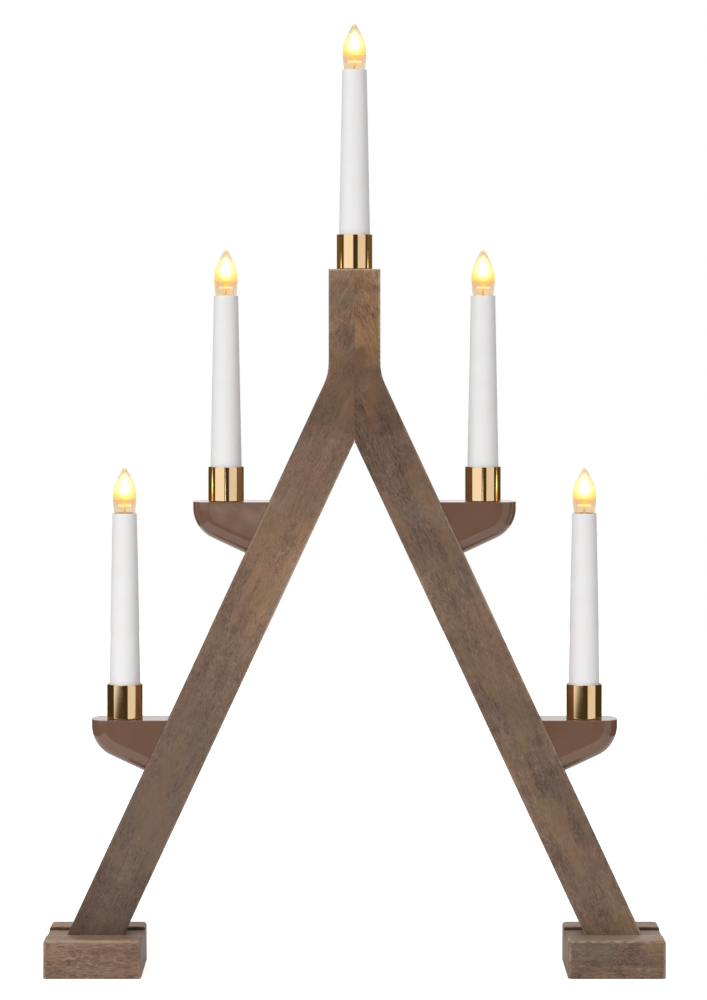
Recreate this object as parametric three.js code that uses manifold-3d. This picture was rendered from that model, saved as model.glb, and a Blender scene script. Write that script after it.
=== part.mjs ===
// Electric advent candlestick. Two wooden legs are mitred into a neck and stand in grooved feet,
// four moulded shelves stick out of the legs, and five brass cups hold slim electric candles.
// Millimetres, +Z up. The front looks toward -Y and the origin is on the floor midway between
// the feet.
import * as THREE from 'three';
import { mergeVertices } from 'three/addons/utils/BufferGeometryUtils.js';
import Module from 'manifold-3d';

const wasm = await Module();
wasm.setup();

// Space left between two pieces that touch, and how far a cutter runs past a surface
const FIT_GAP = 0.3;
const OVERRUN = 2;

// Legs and neck
const BOARD_WIDTH = 34;
const BOARD_THICKNESS = 33;
const LEG_LEAN = THREE.MathUtils.degToRad(25);
const NECK_TOP_Z = 464.4;
const CROTCH_Z = 351.2;
const BEND_RADIUS = 36;
const CROTCH_RADIUS = 0.8;
const EDGE_ROUNDING = 1;

// Feet
const FOOT_WIDTH = 64;
const FOOT_HEIGHT = 25.3;
const FOOT_LIP = 22;
const GROOVE_DEPTH = 2.5;
const FOOT_CORNER_RADIUS = 3;
const FOOT_ROUNDING = 2;

// Shelves
const UPPER_SHELF_Z = 311;
const LOWER_SHELF_Z = 166.9;
const SHELF_LENGTH = 50.4;
const SHELF_DROP = 34.2;
const SHELF_NOSE_RADIUS = 22;
const SHELF_ROUNDING = 11;
const SHELF_SETBACK = 0.5;

// Cups
const CUP_OFFSET = 28.7;
const CUP_RADIUS = 11.9;
const CUP_HEIGHT = 22.6;
const CUP_WALL = 0.9;
const CUP_FLOOR = 1.5;
const SPIGOT_RADIUS = 5;
const SPIGOT_BORE = 3.4;
const SPIGOT_LENGTH = 6.5;
const SOCKET_DEPTH = 14;

// Candle sleeves; the top candle stands lower than the other four
const CANDLE_RISE = 136.1;
const TOP_CANDLE_DROP = 4.5;
const SLEEVE_TOP_RADIUS = 8.05;
const SLEEVE_WALL = 0.85;
const SLEEVE_FOOT_WALL = 1.2;

// Lamp holder, its screw shell and its centre contact, measured down from the sleeve's top
const HOLDER_TOP = 6;
const HOLDER_LENGTH = 20;
const HOLDER_FLOOR = 4;
const SHELL_WALL = 0.3;
const CONTACT_HEAD = 0.8;

// Bulb: screw cap of the 10 mm size and a flame-shaped glass
const CAP_RADIUS = 4.7;
const CAP_WALL = 0.8;
const THREAD_DEPTH = 0.25;
const THREAD_PITCH = 1.81;
const THREAD_RINGS = 3;
const GLASS_WALL = 0.7;
const GLASS_HEIGHT = 30;
const GLASS_RADIUS = 7.7;
const GLASS_FOOT_RADIUS = 6.85;
const GLASS_TAIL = 5;
const DISC_HEIGHT = 4.9;
const DISC_RADIUS = 5;
const DISC_THICKNESS = 0.8;
const STEM_RADIUS = 1.3;

// Fasteners
const SCREW_RADIUS = 2;
const SCREW_HEAD_RADIUS = 4;
const SCREW_HEAD_HEIGHT = 2.6;
const FOOT_SCREW_LENGTH = 38;
const SHELF_SCREW_REACH = 15;
const SHELF_SCREW_DROP = 25;
const COUNTERBORE_DEPTH = 5;
const DOWEL_RADIUS = 3;
const DOWEL_LENGTH = 24;
const DOWEL_SPACING = 34;

// Leads, their channel in the legs' backs and the cord's gland
const LEAD_RADIUS = 1.2;
const CHANNEL_DEPTH = 8;
const GLAND_Z = 63;
const GLAND_RADIUS = 5;
const GLAND_BORE = 2.3;
const GLAND_FLANGE = 2;

// Sides of the round pieces
const ROUND_SIDES = 24;
const SMALL_SIDES = 16;
const FINE_SIDES = 12;
const LEAD_SIDES = 8;

// The legs' edges in the front view. A leg is as wide as the neck, measured square to its edges.
const HALF_NECK = BOARD_WIDTH / 2;
const HALF_DEPTH = BOARD_THICKNESS / 2;
const LEG_SLOPE = Math.tan(LEG_LEAN);
const LEG_HALF_SPAN = HALF_NECK / Math.cos(LEG_LEAN);
const legCentreX = (z) => LEG_HALF_SPAN + (CROTCH_Z - z) * LEG_SLOPE;
const legOuterX = (z) => legCentreX(z) + LEG_HALF_SPAN;
const legInnerX = (z) => legCentreX(z) - LEG_HALF_SPAN;
const BEND_Z = CROTCH_Z + (2 * LEG_HALF_SPAN - HALF_NECK) / LEG_SLOPE;
const FORK_Z = CROTCH_Z + LEG_HALF_SPAN / LEG_SLOPE;
const LEG_OUTWARD = new THREE.Vector3(Math.cos(LEG_LEAN), 0, Math.sin(LEG_LEAN));

// Sizes that follow from the ones above
const GROOVE_FLOOR_Z = FOOT_HEIGHT - GROOVE_DEPTH;
const LEG_FOOT_Z = GROOVE_FLOOR_Z + FIT_GAP;
const FOOT_CENTRE_X = legCentreX(GROOVE_FLOOR_Z);
const FOOT_DEPTH = BOARD_THICKNESS + 2 * (FIT_GAP + FOOT_LIP);
const CUP_INSIDE = CUP_RADIUS - CUP_WALL;
const SLEEVE_FOOT_RADIUS = CUP_INSIDE - FIT_GAP;
const SLEEVE_FOOT = CUP_FLOOR + 2 * FIT_GAP;
const SOCKET_RADIUS = SPIGOT_RADIUS + FIT_GAP;
const HOLE_RADIUS = LEAD_RADIUS + 2 * FIT_GAP;
const CHANNEL_WIDTH = 2 * (LEAD_RADIUS + FIT_GAP);
const CHANNEL_FLOOR_Y = HALF_DEPTH - CHANNEL_DEPTH;
const LEAD_Y = CHANNEL_FLOOR_Y + LEAD_RADIUS + FIT_GAP;
const LEAD_HOLE_DROP = (SPIGOT_LENGTH + SOCKET_DEPTH) / 2;
const HOLDER_BOTTOM = HOLDER_TOP + HOLDER_LENGTH;
const HOLDER_FLOOR_TOP = HOLDER_BOTTOM - HOLDER_FLOOR;
const CAP_TOP = GLASS_TAIL + FIT_GAP;
const CAP_BOTTOM = HOLDER_FLOOR_TOP - 2 * FIT_GAP - CONTACT_HEAD;
const SHELL_OUTSIDE = CAP_RADIUS + FIT_GAP + SHELL_WALL;

const sleeveInside = (drop) => SLEEVE_TOP_RADIUS - SLEEVE_WALL
  + ((SLEEVE_FOOT_RADIUS - SLEEVE_FOOT_WALL - SLEEVE_TOP_RADIUS + SLEEVE_WALL) * drop)
  / (CANDLE_RISE - SLEEVE_FOOT);

// Turns a geometry into a closed solid whose faces look outward.
function solid(geometry) {
  const bare = new THREE.BufferGeometry();
  bare.setAttribute('position', geometry.getAttribute('position'));
  if (geometry.index) bare.setIndex(geometry.index);
  const joined = mergeVertices(bare, 1e-4);
  const points = joined.getAttribute('position');
  const corner = (i) => new THREE.Vector3().fromBufferAttribute(points, i);
  const faces = [];
  let volume = 0;
  for (let i = 0; i < joined.index.count; i += 3) {
    const [a, b, c] = [0, 1, 2].map((k) => joined.index.getX(i + k));
    if (a === b || b === c || c === a) continue;
    faces.push([a, b, c]);
    volume += corner(a).dot(corner(b).cross(corner(c)));
  }
  const outward = volume < 0 ? faces.map(([a, b, c]) => [a, c, b]) : faces;
  return new wasm.Manifold(new wasm.Mesh({
    numProp: 3,
    vertProperties: new Float32Array(points.array),
    triVerts: new Uint32Array(outward.flat()),
  }));
}

// Gives the geometry of a solid.
function shapeOf(body) {
  const mesh = body.getMesh();
  const geometry = new THREE.BufferGeometry();
  geometry.setAttribute('position', new THREE.BufferAttribute(mesh.vertProperties, 3));
  geometry.setIndex(new THREE.BufferAttribute(mesh.triVerts, 1));
  const flat = geometry.toNonIndexed();
  flat.computeVertexNormals();
  return flat;
}

// Mirrors a geometry from the right side of the object to the left.
function mirrored(geometry) {
  const copy = geometry.clone().applyMatrix4(new THREE.Matrix4().makeScale(-1, 1, 1));
  return shapeOf(solid(copy));
}

function material(color, roughness, metalness = 0, more = {}) {
  return new THREE.MeshStandardMaterial({ color, roughness, metalness, ...more });
}

const stainedWood = () => material(0x7d695a, 0.75);
const footWood = () => material(0x84705f, 0.75);
const dowelWood = () => material(0xc8a878, 0.8);
const shelfPlastic = () => material(0x7a5f52, 0.25);
const polishedBrass = () => material(0xc49a58, 0.2, 1);
const sleevePlastic = () => material(0xf0eeee, 0.45);
const holderPlastic = () => material(0xd8d2c4, 0.6);
const contactBrass = () => material(0xb08d4c, 0.4, 1);
const capNickel = () => material(0xb9bab8, 0.3, 1);
const bulbGlass = () => material(0xfff0d0, 0.05, 0, { transparent: true, opacity: 0.35 });
const warmLight = () => material(0xffc060, 0.4, 0, { emissive: 0xffa838 });
const screwSteel = () => material(0x9a9c9e, 0.35, 1);
const leadSheath = () => material(0x2a2624, 0.6);
const glandRubber = () => material(0x1e1c1b, 0.8);

function piece(name, geometry, finish) {
  const mesh = new THREE.Mesh(geometry, finish);
  mesh.name = name;
  return mesh;
}

// A round piece turned about +Z from a profile of [radius, height] points.
function turned(profile, sides = ROUND_SIDES) {
  const points = profile.map(([radius, height]) => new THREE.Vector2(radius, height));
  return new THREE.LatheGeometry(points, sides).rotateX(Math.PI / 2);
}

// A turned piece with a hole right through it: its profile closes on itself.
function turnedRing(profile, sides = ROUND_SIDES) {
  return turned([...profile, profile[0]], sides);
}

// A round bar between two points.
function bar(from, to, radius, sides = FINE_SIDES) {
  const along = to.clone().sub(from);
  const turn = new THREE.Quaternion().setFromUnitVectors(
    new THREE.Vector3(0, 1, 0), along.clone().normalize());
  const middle = from.clone().add(to).multiplyScalar(0.5);
  return new THREE.CylinderGeometry(radius, radius, along.length(), sides)
    .applyQuaternion(turn).translate(middle.x, middle.y, middle.z);
}

// A slab that shows its outline from the front, centred on Y = 0, with rounded edges all round.
function slab(outline, thickness, rounding, segments) {
  const geometry = new THREE.ExtrudeGeometry(new THREE.Shape(outline), {
    depth: thickness - 2 * rounding,
    steps: 1,
    bevelEnabled: true,
    bevelThickness: rounding,
    bevelSize: rounding,
    bevelOffset: -rounding,
    bevelSegments: segments,
  });
  return geometry.rotateX(Math.PI / 2).translate(0, thickness / 2 - rounding, 0);
}

function box(low, high) {
  const size = high.map((value, k) => value - low[k]);
  const middle = high.map((value, k) => (value + low[k]) / 2);
  return new THREE.BoxGeometry(...size).translate(...middle);
}

// Points of an arc in the front view, both ends included.
function arc(centreX, centreZ, radius, start, end, count) {
  return Array.from({ length: count + 1 }, (_, i) => {
    const angle = start + ((end - start) * i) / count;
    return new THREE.Vector2(
      centreX + radius * Math.cos(angle), centreZ + radius * Math.sin(angle));
  });
}

// Outline of both legs and the neck together.
function frameOutline() {
  const tangent = BEND_RADIUS * Math.tan(LEG_LEAN / 2);
  const bend = arc(HALF_NECK + BEND_RADIUS, BEND_Z + tangent, BEND_RADIUS,
    Math.PI, Math.PI + LEG_LEAN, 4);
  const crotch = arc(0, CROTCH_Z - CROTCH_RADIUS / Math.sin(LEG_LEAN), CROTCH_RADIUS,
    LEG_LEAN, Math.PI / 2, 2);
  const right = [
    new THREE.Vector2(HALF_NECK, NECK_TOP_Z),
    ...bend,
    new THREE.Vector2(legOuterX(LEG_FOOT_Z), LEG_FOOT_Z),
    new THREE.Vector2(legInnerX(LEG_FOOT_Z), LEG_FOOT_Z),
    ...crotch,
  ];
  const left = right.slice(0, -1).reverse().map((p) => new THREE.Vector2(-p.x, p.y));
  return [...right, ...left];
}

// A screw pointing along +Z: flat head with a driver slot at z = 0, shank above it.
function screw(length) {
  const body = turned([
    [0, 0], [SCREW_HEAD_RADIUS, 0], [SCREW_HEAD_RADIUS, SCREW_HEAD_HEIGHT / 2],
    [SCREW_RADIUS, SCREW_HEAD_HEIGHT], [SCREW_RADIUS, length - 2 * SCREW_RADIUS],
    [0, length],
  ], FINE_SIDES);
  const slot = box([-SCREW_HEAD_RADIUS - OVERRUN, -0.5, -OVERRUN],
    [SCREW_HEAD_RADIUS + OVERRUN, 0.5, SCREW_HEAD_HEIGHT / 2]);
  return shapeOf(solid(body).subtract(solid(slot)));
}

// Where the shelf screws run, on the right side: from the leg's inner face into the shelf.
function shelfScrewLine(shelfZ) {
  const z = shelfZ - SHELF_SCREW_DROP;
  const atFace = new THREE.Vector3(legOuterX(z), 0, z);
  const headDepth = BOARD_WIDTH - COUNTERBORE_DEPTH;
  const along = (distance) => atFace.clone().addScaledVector(LEG_OUTWARD, distance);
  return {
    mouth: along(-BOARD_WIDTH - OVERRUN),
    head: along(-headDepth),
    shoulder: along(-headDepth + SCREW_HEAD_HEIGHT + FIT_GAP),
    tip: along(SHELF_SCREW_REACH),
    pilotEnd: along(SHELF_SCREW_REACH + FIT_GAP),
    length: headDepth + SHELF_SCREW_REACH,
  };
}

// Where the lead runs from the leg's channel to the middle of a cup's socket, on the right.
function branchLine(shelfZ) {
  const z = shelfZ - LEAD_HOLE_DROP;
  return {
    from: new THREE.Vector3(legCentreX(z), LEAD_Y, z),
    to: new THREE.Vector3(legOuterX(shelfZ) + CUP_OFFSET, 0, z),
  };
}

// The channel in the back of the right leg and the neck.
function channel(bottomZ) {
  const top = NECK_TOP_Z - SPIGOT_LENGTH - 2 * FIT_GAP;
  const half = CHANNEL_WIDTH / 2;
  const neck = box([-half, CHANNEL_FLOOR_Y, FORK_Z - half], [half, HALF_DEPTH + OVERRUN, top]);
  const length = (FORK_Z - bottomZ) / Math.cos(LEG_LEAN);
  const leg = box([-half, CHANNEL_FLOOR_Y, -length], [half, HALF_DEPTH + OVERRUN, 0])
    .rotateY(-LEG_LEAN).translate(0, 0, FORK_Z);
  return solid(neck).add(solid(leg));
}

// The right board: the leg with its half of the neck, and everything cut into it.
function board(channelBottomZ, withGland) {
  const reach = legOuterX(0) + OVERRUN;
  let body = solid(slab(frameOutline(), BOARD_THICKNESS, EDGE_ROUNDING, 2));
  body = body.intersect(solid(box(
    [FIT_GAP / 2, -BOARD_THICKNESS, 0], [reach, BOARD_THICKNESS, NECK_TOP_Z + OVERRUN])));
  body = body.subtract(channel(channelBottomZ));
  body = body.subtract(solid(bar(
    new THREE.Vector3(0, 0, NECK_TOP_Z - SOCKET_DEPTH),
    new THREE.Vector3(0, 0, NECK_TOP_Z + OVERRUN), SOCKET_RADIUS)));
  body = body.subtract(solid(bar(
    new THREE.Vector3(0, 0, NECK_TOP_Z - LEAD_HOLE_DROP),
    new THREE.Vector3(0, LEAD_Y, NECK_TOP_Z - LEAD_HOLE_DROP), HOLE_RADIUS)));
  for (const z of dowelHeights()) {
    body = body.subtract(solid(bar(
      new THREE.Vector3(-DOWEL_LENGTH, dowelY(), z),
      new THREE.Vector3(DOWEL_LENGTH / 2 + FIT_GAP, dowelY(), z), DOWEL_RADIUS + FIT_GAP)));
  }
  for (const shelfZ of [UPPER_SHELF_Z, LOWER_SHELF_Z]) {
    const line = shelfScrewLine(shelfZ);
    const branch = branchLine(shelfZ);
    body = body
      .subtract(solid(bar(line.mouth, line.tip, SCREW_RADIUS + FIT_GAP)))
      .subtract(solid(bar(line.mouth, line.shoulder, SCREW_HEAD_RADIUS + FIT_GAP)))
      .subtract(solid(bar(branch.from, branch.to, HOLE_RADIUS)));
  }
  const screwX = footScrewX();
  body = body.subtract(solid(bar(
    new THREE.Vector3(screwX, 0, 0),
    new THREE.Vector3(screwX, 0, COUNTERBORE_DEPTH + FOOT_SCREW_LENGTH + FIT_GAP),
    SCREW_RADIUS + FIT_GAP)));
  if (withGland) {
    body = body.subtract(solid(bar(
      new THREE.Vector3(legCentreX(GLAND_Z), CHANNEL_FLOOR_Y - FIT_GAP, GLAND_Z),
      new THREE.Vector3(legCentreX(GLAND_Z), HALF_DEPTH + OVERRUN, GLAND_Z),
      GLAND_RADIUS + FIT_GAP, SMALL_SIDES)));
  }
  return shapeOf(body);
}

// The dowels cross the seam between the channel and the front face, under the top cup's socket.
function dowelHeights() {
  const upper = NECK_TOP_Z - SOCKET_DEPTH - 4 * DOWEL_RADIUS;
  return [upper, upper - DOWEL_SPACING];
}

function dowelY() {
  return (CHANNEL_FLOOR_Y - HALF_DEPTH) / 2;
}

function footScrewX() {
  return legCentreX(LEG_FOOT_Z + (FOOT_SCREW_LENGTH - GROOVE_FLOOR_Z) / 2);
}

// The right foot about its own middle: a block with rounded upper edges, grooved for the leg and
// bored for its screw.
function foot() {
  const x = FOOT_WIDTH / 2 - FOOT_CORNER_RADIUS;
  const y = FOOT_DEPTH / 2 - FOOT_CORNER_RADIUS;
  const quarter = Math.PI / 2;
  const plan = [[x, y], [-x, y], [-x, -y], [x, -y]].flatMap(([cornerX, cornerY], i) => arc(
    cornerX, cornerY, FOOT_CORNER_RADIUS, i * quarter, (i + 1) * quarter, 3));
  const block = new THREE.ExtrudeGeometry(new THREE.Shape(plan), {
    depth: FOOT_HEIGHT, steps: 1, bevelEnabled: true, bevelThickness: FOOT_ROUNDING,
    bevelSize: FOOT_ROUNDING, bevelOffset: -FOOT_ROUNDING, bevelSegments: 3,
  }).translate(0, 0, -FOOT_ROUNDING);
  const floor = box([-FOOT_WIDTH, -FOOT_DEPTH, -FOOT_HEIGHT], [FOOT_WIDTH, FOOT_DEPTH, 0]);
  const groove = box([-FOOT_WIDTH, -HALF_DEPTH - FIT_GAP, GROOVE_FLOOR_Z],
    [FOOT_WIDTH, HALF_DEPTH + FIT_GAP, FOOT_HEIGHT + OVERRUN]);
  const screwX = footScrewX() - FOOT_CENTRE_X;
  const centre = (z) => new THREE.Vector3(screwX, 0, z);
  const body = solid(block)
    .subtract(solid(floor))
    .subtract(solid(groove))
    .subtract(solid(bar(centre(-OVERRUN), centre(FOOT_HEIGHT), SCREW_RADIUS + FIT_GAP)))
    .subtract(solid(bar(centre(-OVERRUN), centre(COUNTERBORE_DEPTH + SCREW_HEAD_HEIGHT + FIT_GAP),
      SCREW_HEAD_RADIUS + FIT_GAP)));
  return shapeOf(body);
}

// A right shelf: flat top, vertical rounded nose, underside square to the leg.
function shelf(shelfZ) {
  const rootX = legOuterX(shelfZ);
  const spare = SHELF_ROUNDING + OVERRUN;
  const turn = Math.PI / 2 - LEG_LEAN;
  const cornerDrop = SHELF_DROP - (SHELF_LENGTH - SHELF_DROP * LEG_SLOPE) * LEG_SLOPE;
  const noseDrop = cornerDrop - SHELF_NOSE_RADIUS * Math.tan(turn / 2);
  const nose = arc(rootX + SHELF_LENGTH - SHELF_NOSE_RADIUS, shelfZ - noseDrop,
    SHELF_NOSE_RADIUS, 0, -turn, 7);
  const inward = new THREE.Vector2(-Math.cos(LEG_LEAN), -Math.sin(LEG_LEAN));
  const upLeg = new THREE.Vector2(-Math.sin(LEG_LEAN), Math.cos(LEG_LEAN));
  const heel = new THREE.Vector2(rootX + SHELF_DROP * LEG_SLOPE, shelfZ - SHELF_DROP)
    .addScaledVector(inward, spare);
  const shoulder = heel.clone().addScaledVector(upLeg, (SHELF_DROP + 2 * spare) / upLeg.y);
  const outline = [
    new THREE.Vector2(rootX + SHELF_LENGTH, shoulder.y), ...nose, heel, shoulder,
  ];
  const depth = BOARD_THICKNESS - 2 * SHELF_SETBACK;
  const top = box([0, -depth, shelfZ], [rootX + 2 * SHELF_LENGTH, depth, shelfZ + 4 * spare]);
  const reach = BOARD_WIDTH + 4 * spare;
  const beside = box([-reach, -depth, -reach], [FIT_GAP, depth, reach])
    .rotateY(-LEG_LEAN).translate(rootX, 0, shelfZ);
  const line = shelfScrewLine(shelfZ);
  const branch = branchLine(shelfZ);
  const cupX = rootX + CUP_OFFSET;
  const body = solid(slab(outline, depth, SHELF_ROUNDING, 5))
    .subtract(solid(top))
    .subtract(solid(beside))
    .subtract(solid(bar(new THREE.Vector3(cupX, 0, shelfZ - SOCKET_DEPTH),
      new THREE.Vector3(cupX, 0, shelfZ + OVERRUN), SOCKET_RADIUS)))
    .subtract(solid(bar(branch.from, branch.to, HOLE_RADIUS)))
    .subtract(solid(bar(line.mouth, line.pilotEnd, SCREW_RADIUS + FIT_GAP)));
  return shapeOf(body);
}

// A screw laid along the shelf's screw line.
function shelfScrew(shelfZ) {
  const line = shelfScrewLine(shelfZ);
  return screw(line.length).rotateY(Math.PI / 2 - LEG_LEAN)
    .translate(line.head.x, line.head.y, line.head.z);
}

// The cup: straight wall with an eased lip, a floor, and a hollow spigot under it.
function cup() {
  const top = FIT_GAP + CUP_HEIGHT;
  const lip = CUP_WALL / 3;
  return turnedRing([
    [SPIGOT_BORE, -SPIGOT_LENGTH], [SPIGOT_RADIUS, -SPIGOT_LENGTH], [SPIGOT_RADIUS, FIT_GAP],
    [CUP_RADIUS, FIT_GAP], [CUP_RADIUS, top - lip], [CUP_RADIUS - lip, top],
    [CUP_INSIDE, top], [CUP_INSIDE, FIT_GAP + CUP_FLOOR],
    [SPIGOT_BORE, FIT_GAP + CUP_FLOOR],
  ]);
}

// The tapered sleeve, open at both ends, from the cup's floor to the given height.
function sleeve(rise) {
  const edge = SLEEVE_WALL / 3;
  return turnedRing([
    [SLEEVE_FOOT_RADIUS - SLEEVE_FOOT_WALL, SLEEVE_FOOT],
    [SLEEVE_FOOT_RADIUS, SLEEVE_FOOT],
    [SLEEVE_TOP_RADIUS, rise - 2 * edge],
    [SLEEVE_TOP_RADIUS - edge, rise],
    [SLEEVE_TOP_RADIUS - SLEEVE_WALL, rise],
  ]);
}

// Everything from here to the bulb's light body is drawn with z = 0 at the sleeve's top.
function lampHolder() {
  const outside = sleeveInside(HOLDER_TOP) - FIT_GAP;
  const bore = SHELL_OUTSIDE + FIT_GAP;
  const rivet = CAP_RADIUS / 4 + FIT_GAP;
  return turnedRing([
    [rivet, -HOLDER_BOTTOM], [outside, -HOLDER_BOTTOM], [outside, -HOLDER_TOP],
    [bore, -HOLDER_TOP], [bore, -HOLDER_FLOOR_TOP], [rivet, -HOLDER_FLOOR_TOP],
  ], SMALL_SIDES);
}

function screwShell() {
  const bottom = FIT_GAP - HOLDER_FLOOR_TOP;
  const inside = SHELL_OUTSIDE - SHELL_WALL;
  const floorHole = CAP_RADIUS * 0.7;
  return turnedRing([
    [floorHole, bottom], [SHELL_OUTSIDE, bottom], [SHELL_OUTSIDE, -HOLDER_TOP],
    [inside, -HOLDER_TOP], [inside, bottom + SHELL_WALL], [floorHole, bottom + SHELL_WALL],
  ], SMALL_SIDES);
}

function centreContact() {
  const rivet = CAP_RADIUS / 4;
  const head = CAP_RADIUS / 2;
  const seat = FIT_GAP - HOLDER_FLOOR_TOP;
  return turned([
    [0, -HOLDER_BOTTOM], [rivet, -HOLDER_BOTTOM], [rivet, seat], [head, seat],
    [head, seat + CONTACT_HEAD], [0, seat + CONTACT_HEAD],
  ], FINE_SIDES);
}

// The bulb's screw cap: threaded wall drawn as rings, solder tip below, hollow inside.
function bulbCap() {
  const rings = Array.from({ length: THREAD_RINGS }, (_, i) => {
    const crest = -CAP_BOTTOM + CAP_RADIUS / 2 + (i + 1) * THREAD_PITCH;
    return [[CAP_RADIUS - THREAD_DEPTH, crest - THREAD_PITCH / 2], [CAP_RADIUS, crest]];
  }).flat();
  const inside = CAP_RADIUS - THREAD_DEPTH - CAP_WALL;
  return turned([
    [0, -CAP_BOTTOM], [CAP_RADIUS / 3, -CAP_BOTTOM],
    [CAP_RADIUS - THREAD_DEPTH, -CAP_BOTTOM + CAP_RADIUS / 2],
    ...rings,
    [CAP_RADIUS - THREAD_DEPTH, -CAP_TOP], [inside, -CAP_TOP],
    [inside, -CAP_BOTTOM + CAP_RADIUS / 2], [0, -CAP_BOTTOM + CAP_RADIUS / 2],
  ], SMALL_SIDES);
}

// Outside of the flame-shaped glass from its tail to its tip.
function glassOutside() {
  const belly = GLASS_RADIUS;
  const tall = GLASS_HEIGHT;
  return [
    [CAP_RADIUS, -GLASS_TAIL], [GLASS_FOOT_RADIUS - 0.5, -GLASS_TAIL / 2],
    [GLASS_FOOT_RADIUS, 0], [belly * 0.97, tall * 0.17], [belly, tall * 0.3],
    [belly, tall * 0.42], [belly * 0.95, tall * 0.53], [belly * 0.85, tall * 0.62],
    [belly * 0.73, tall * 0.7], [belly * 0.44, tall * 0.83], [belly * 0.28, tall * 0.92],
    [belly * 0.14, tall * 0.98], [0, tall],
  ];
}

function bulbGlassShell() {
  const outside = glassOutside();
  const inside = outside.slice(2, -1).filter((_, i) => i % 2 === 0).reverse()
    .map(([radius, height]) => [radius - GLASS_WALL, height - GLASS_WALL / 4]);
  return turned([
    [0, GLASS_HEIGHT - 2 * GLASS_WALL], ...inside, [CAP_RADIUS - GLASS_WALL, -GLASS_TAIL],
    ...outside,
  ], SMALL_SIDES);
}

// The light body: a stem from the cap, a flat disc, and a slim flame-shaped core on it.
function lightBody() {
  const base = -CAP_BOTTOM + CAP_RADIUS / 2 + FIT_GAP;
  const discTop = DISC_HEIGHT + DISC_THICKNESS;
  const coreRadius = 0.4 * GLASS_RADIUS;
  const coreHeight = 0.8 * GLASS_HEIGHT - discTop;
  const core = [[0.6, 0], [0.93, 0.2], [1, 0.4], [0.85, 0.65], [0.5, 0.86], [0, 1]]
    .map(([across, up]) => [across * coreRadius, discTop + up * coreHeight]);
  return turned([
    [0, base], [STEM_RADIUS, base], [STEM_RADIUS, DISC_HEIGHT], [DISC_RADIUS, DISC_HEIGHT],
    [DISC_RADIUS, discTop], ...core,
  ], FINE_SIDES);
}

// A lead made of straight runs with round bends.
function leadRun(points) {
  let body = null;
  points.forEach((point, i) => {
    const ball = solid(new THREE.SphereGeometry(LEAD_RADIUS, LEAD_SIDES, LEAD_SIDES / 2)
      .translate(point.x, point.y, point.z));
    body = body ? body.add(ball) : ball;
    if (i > 0) body = body.add(solid(bar(points[i - 1], point, LEAD_RADIUS, LEAD_SIDES)));
  });
  return body;
}

// Ends of the leads inside the candles, just under the lamp holders.
const leadTopZ = (seatZ, rise) => seatZ + rise - HOLDER_BOTTOM - LEAD_RADIUS - FIT_GAP;

// Branch from the channel to a shelf's candle, on the right.
function shelfBranch(shelfZ) {
  const branch = branchLine(shelfZ);
  const top = new THREE.Vector3(branch.to.x, 0, leadTopZ(shelfZ, CANDLE_RISE));
  return leadRun([branch.from, branch.to, top]);
}

// The right lead feeds both right candles and the top one; it ends in the cord's gland.
function rightLead() {
  const topZ = NECK_TOP_Z - LEAD_HOLE_DROP;
  const glandX = legCentreX(GLAND_Z);
  const main = leadRun([
    new THREE.Vector3(0, 0, leadTopZ(NECK_TOP_Z, CANDLE_RISE - TOP_CANDLE_DROP)),
    new THREE.Vector3(0, 0, topZ),
    new THREE.Vector3(0, LEAD_Y, topZ),
    new THREE.Vector3(0, LEAD_Y, FORK_Z),
    new THREE.Vector3(glandX, LEAD_Y, GLAND_Z),
    new THREE.Vector3(glandX, HALF_DEPTH - LEAD_RADIUS, GLAND_Z),
  ]);
  return shapeOf(main.add(shelfBranch(UPPER_SHELF_Z)).add(shelfBranch(LOWER_SHELF_Z)));
}

// The left lead starts beside the right one at the fork and feeds both left candles.
function leftLead() {
  const startZ = FORK_Z - (2 * LEAD_RADIUS + FIT_GAP) / Math.sin(LEG_LEAN);
  const endZ = LOWER_SHELF_Z - LEAD_HOLE_DROP;
  const main = leadRun([
    new THREE.Vector3(legCentreX(startZ), LEAD_Y, startZ),
    new THREE.Vector3(legCentreX(endZ), LEAD_Y, endZ),
  ]);
  return mirrored(shapeOf(main.add(shelfBranch(UPPER_SHELF_Z)).add(shelfBranch(LOWER_SHELF_Z))));
}

// The gland where the mains cord comes in, turned about +Z with its flange on top: a rubber bush
// pressed into the leg's back.
function gland() {
  const insideEnd = LEAD_Y + LEAD_RADIUS + FIT_GAP;
  const face = HALF_DEPTH + FIT_GAP;
  return turnedRing([
    [GLAND_BORE, insideEnd], [GLAND_RADIUS, insideEnd], [GLAND_RADIUS, face],
    [GLAND_RADIUS + 2, face], [GLAND_RADIUS + 1, face + GLAND_FLANGE],
    [GLAND_BORE, face + GLAND_FLANGE],
  ], SMALL_SIDES);
}

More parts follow.
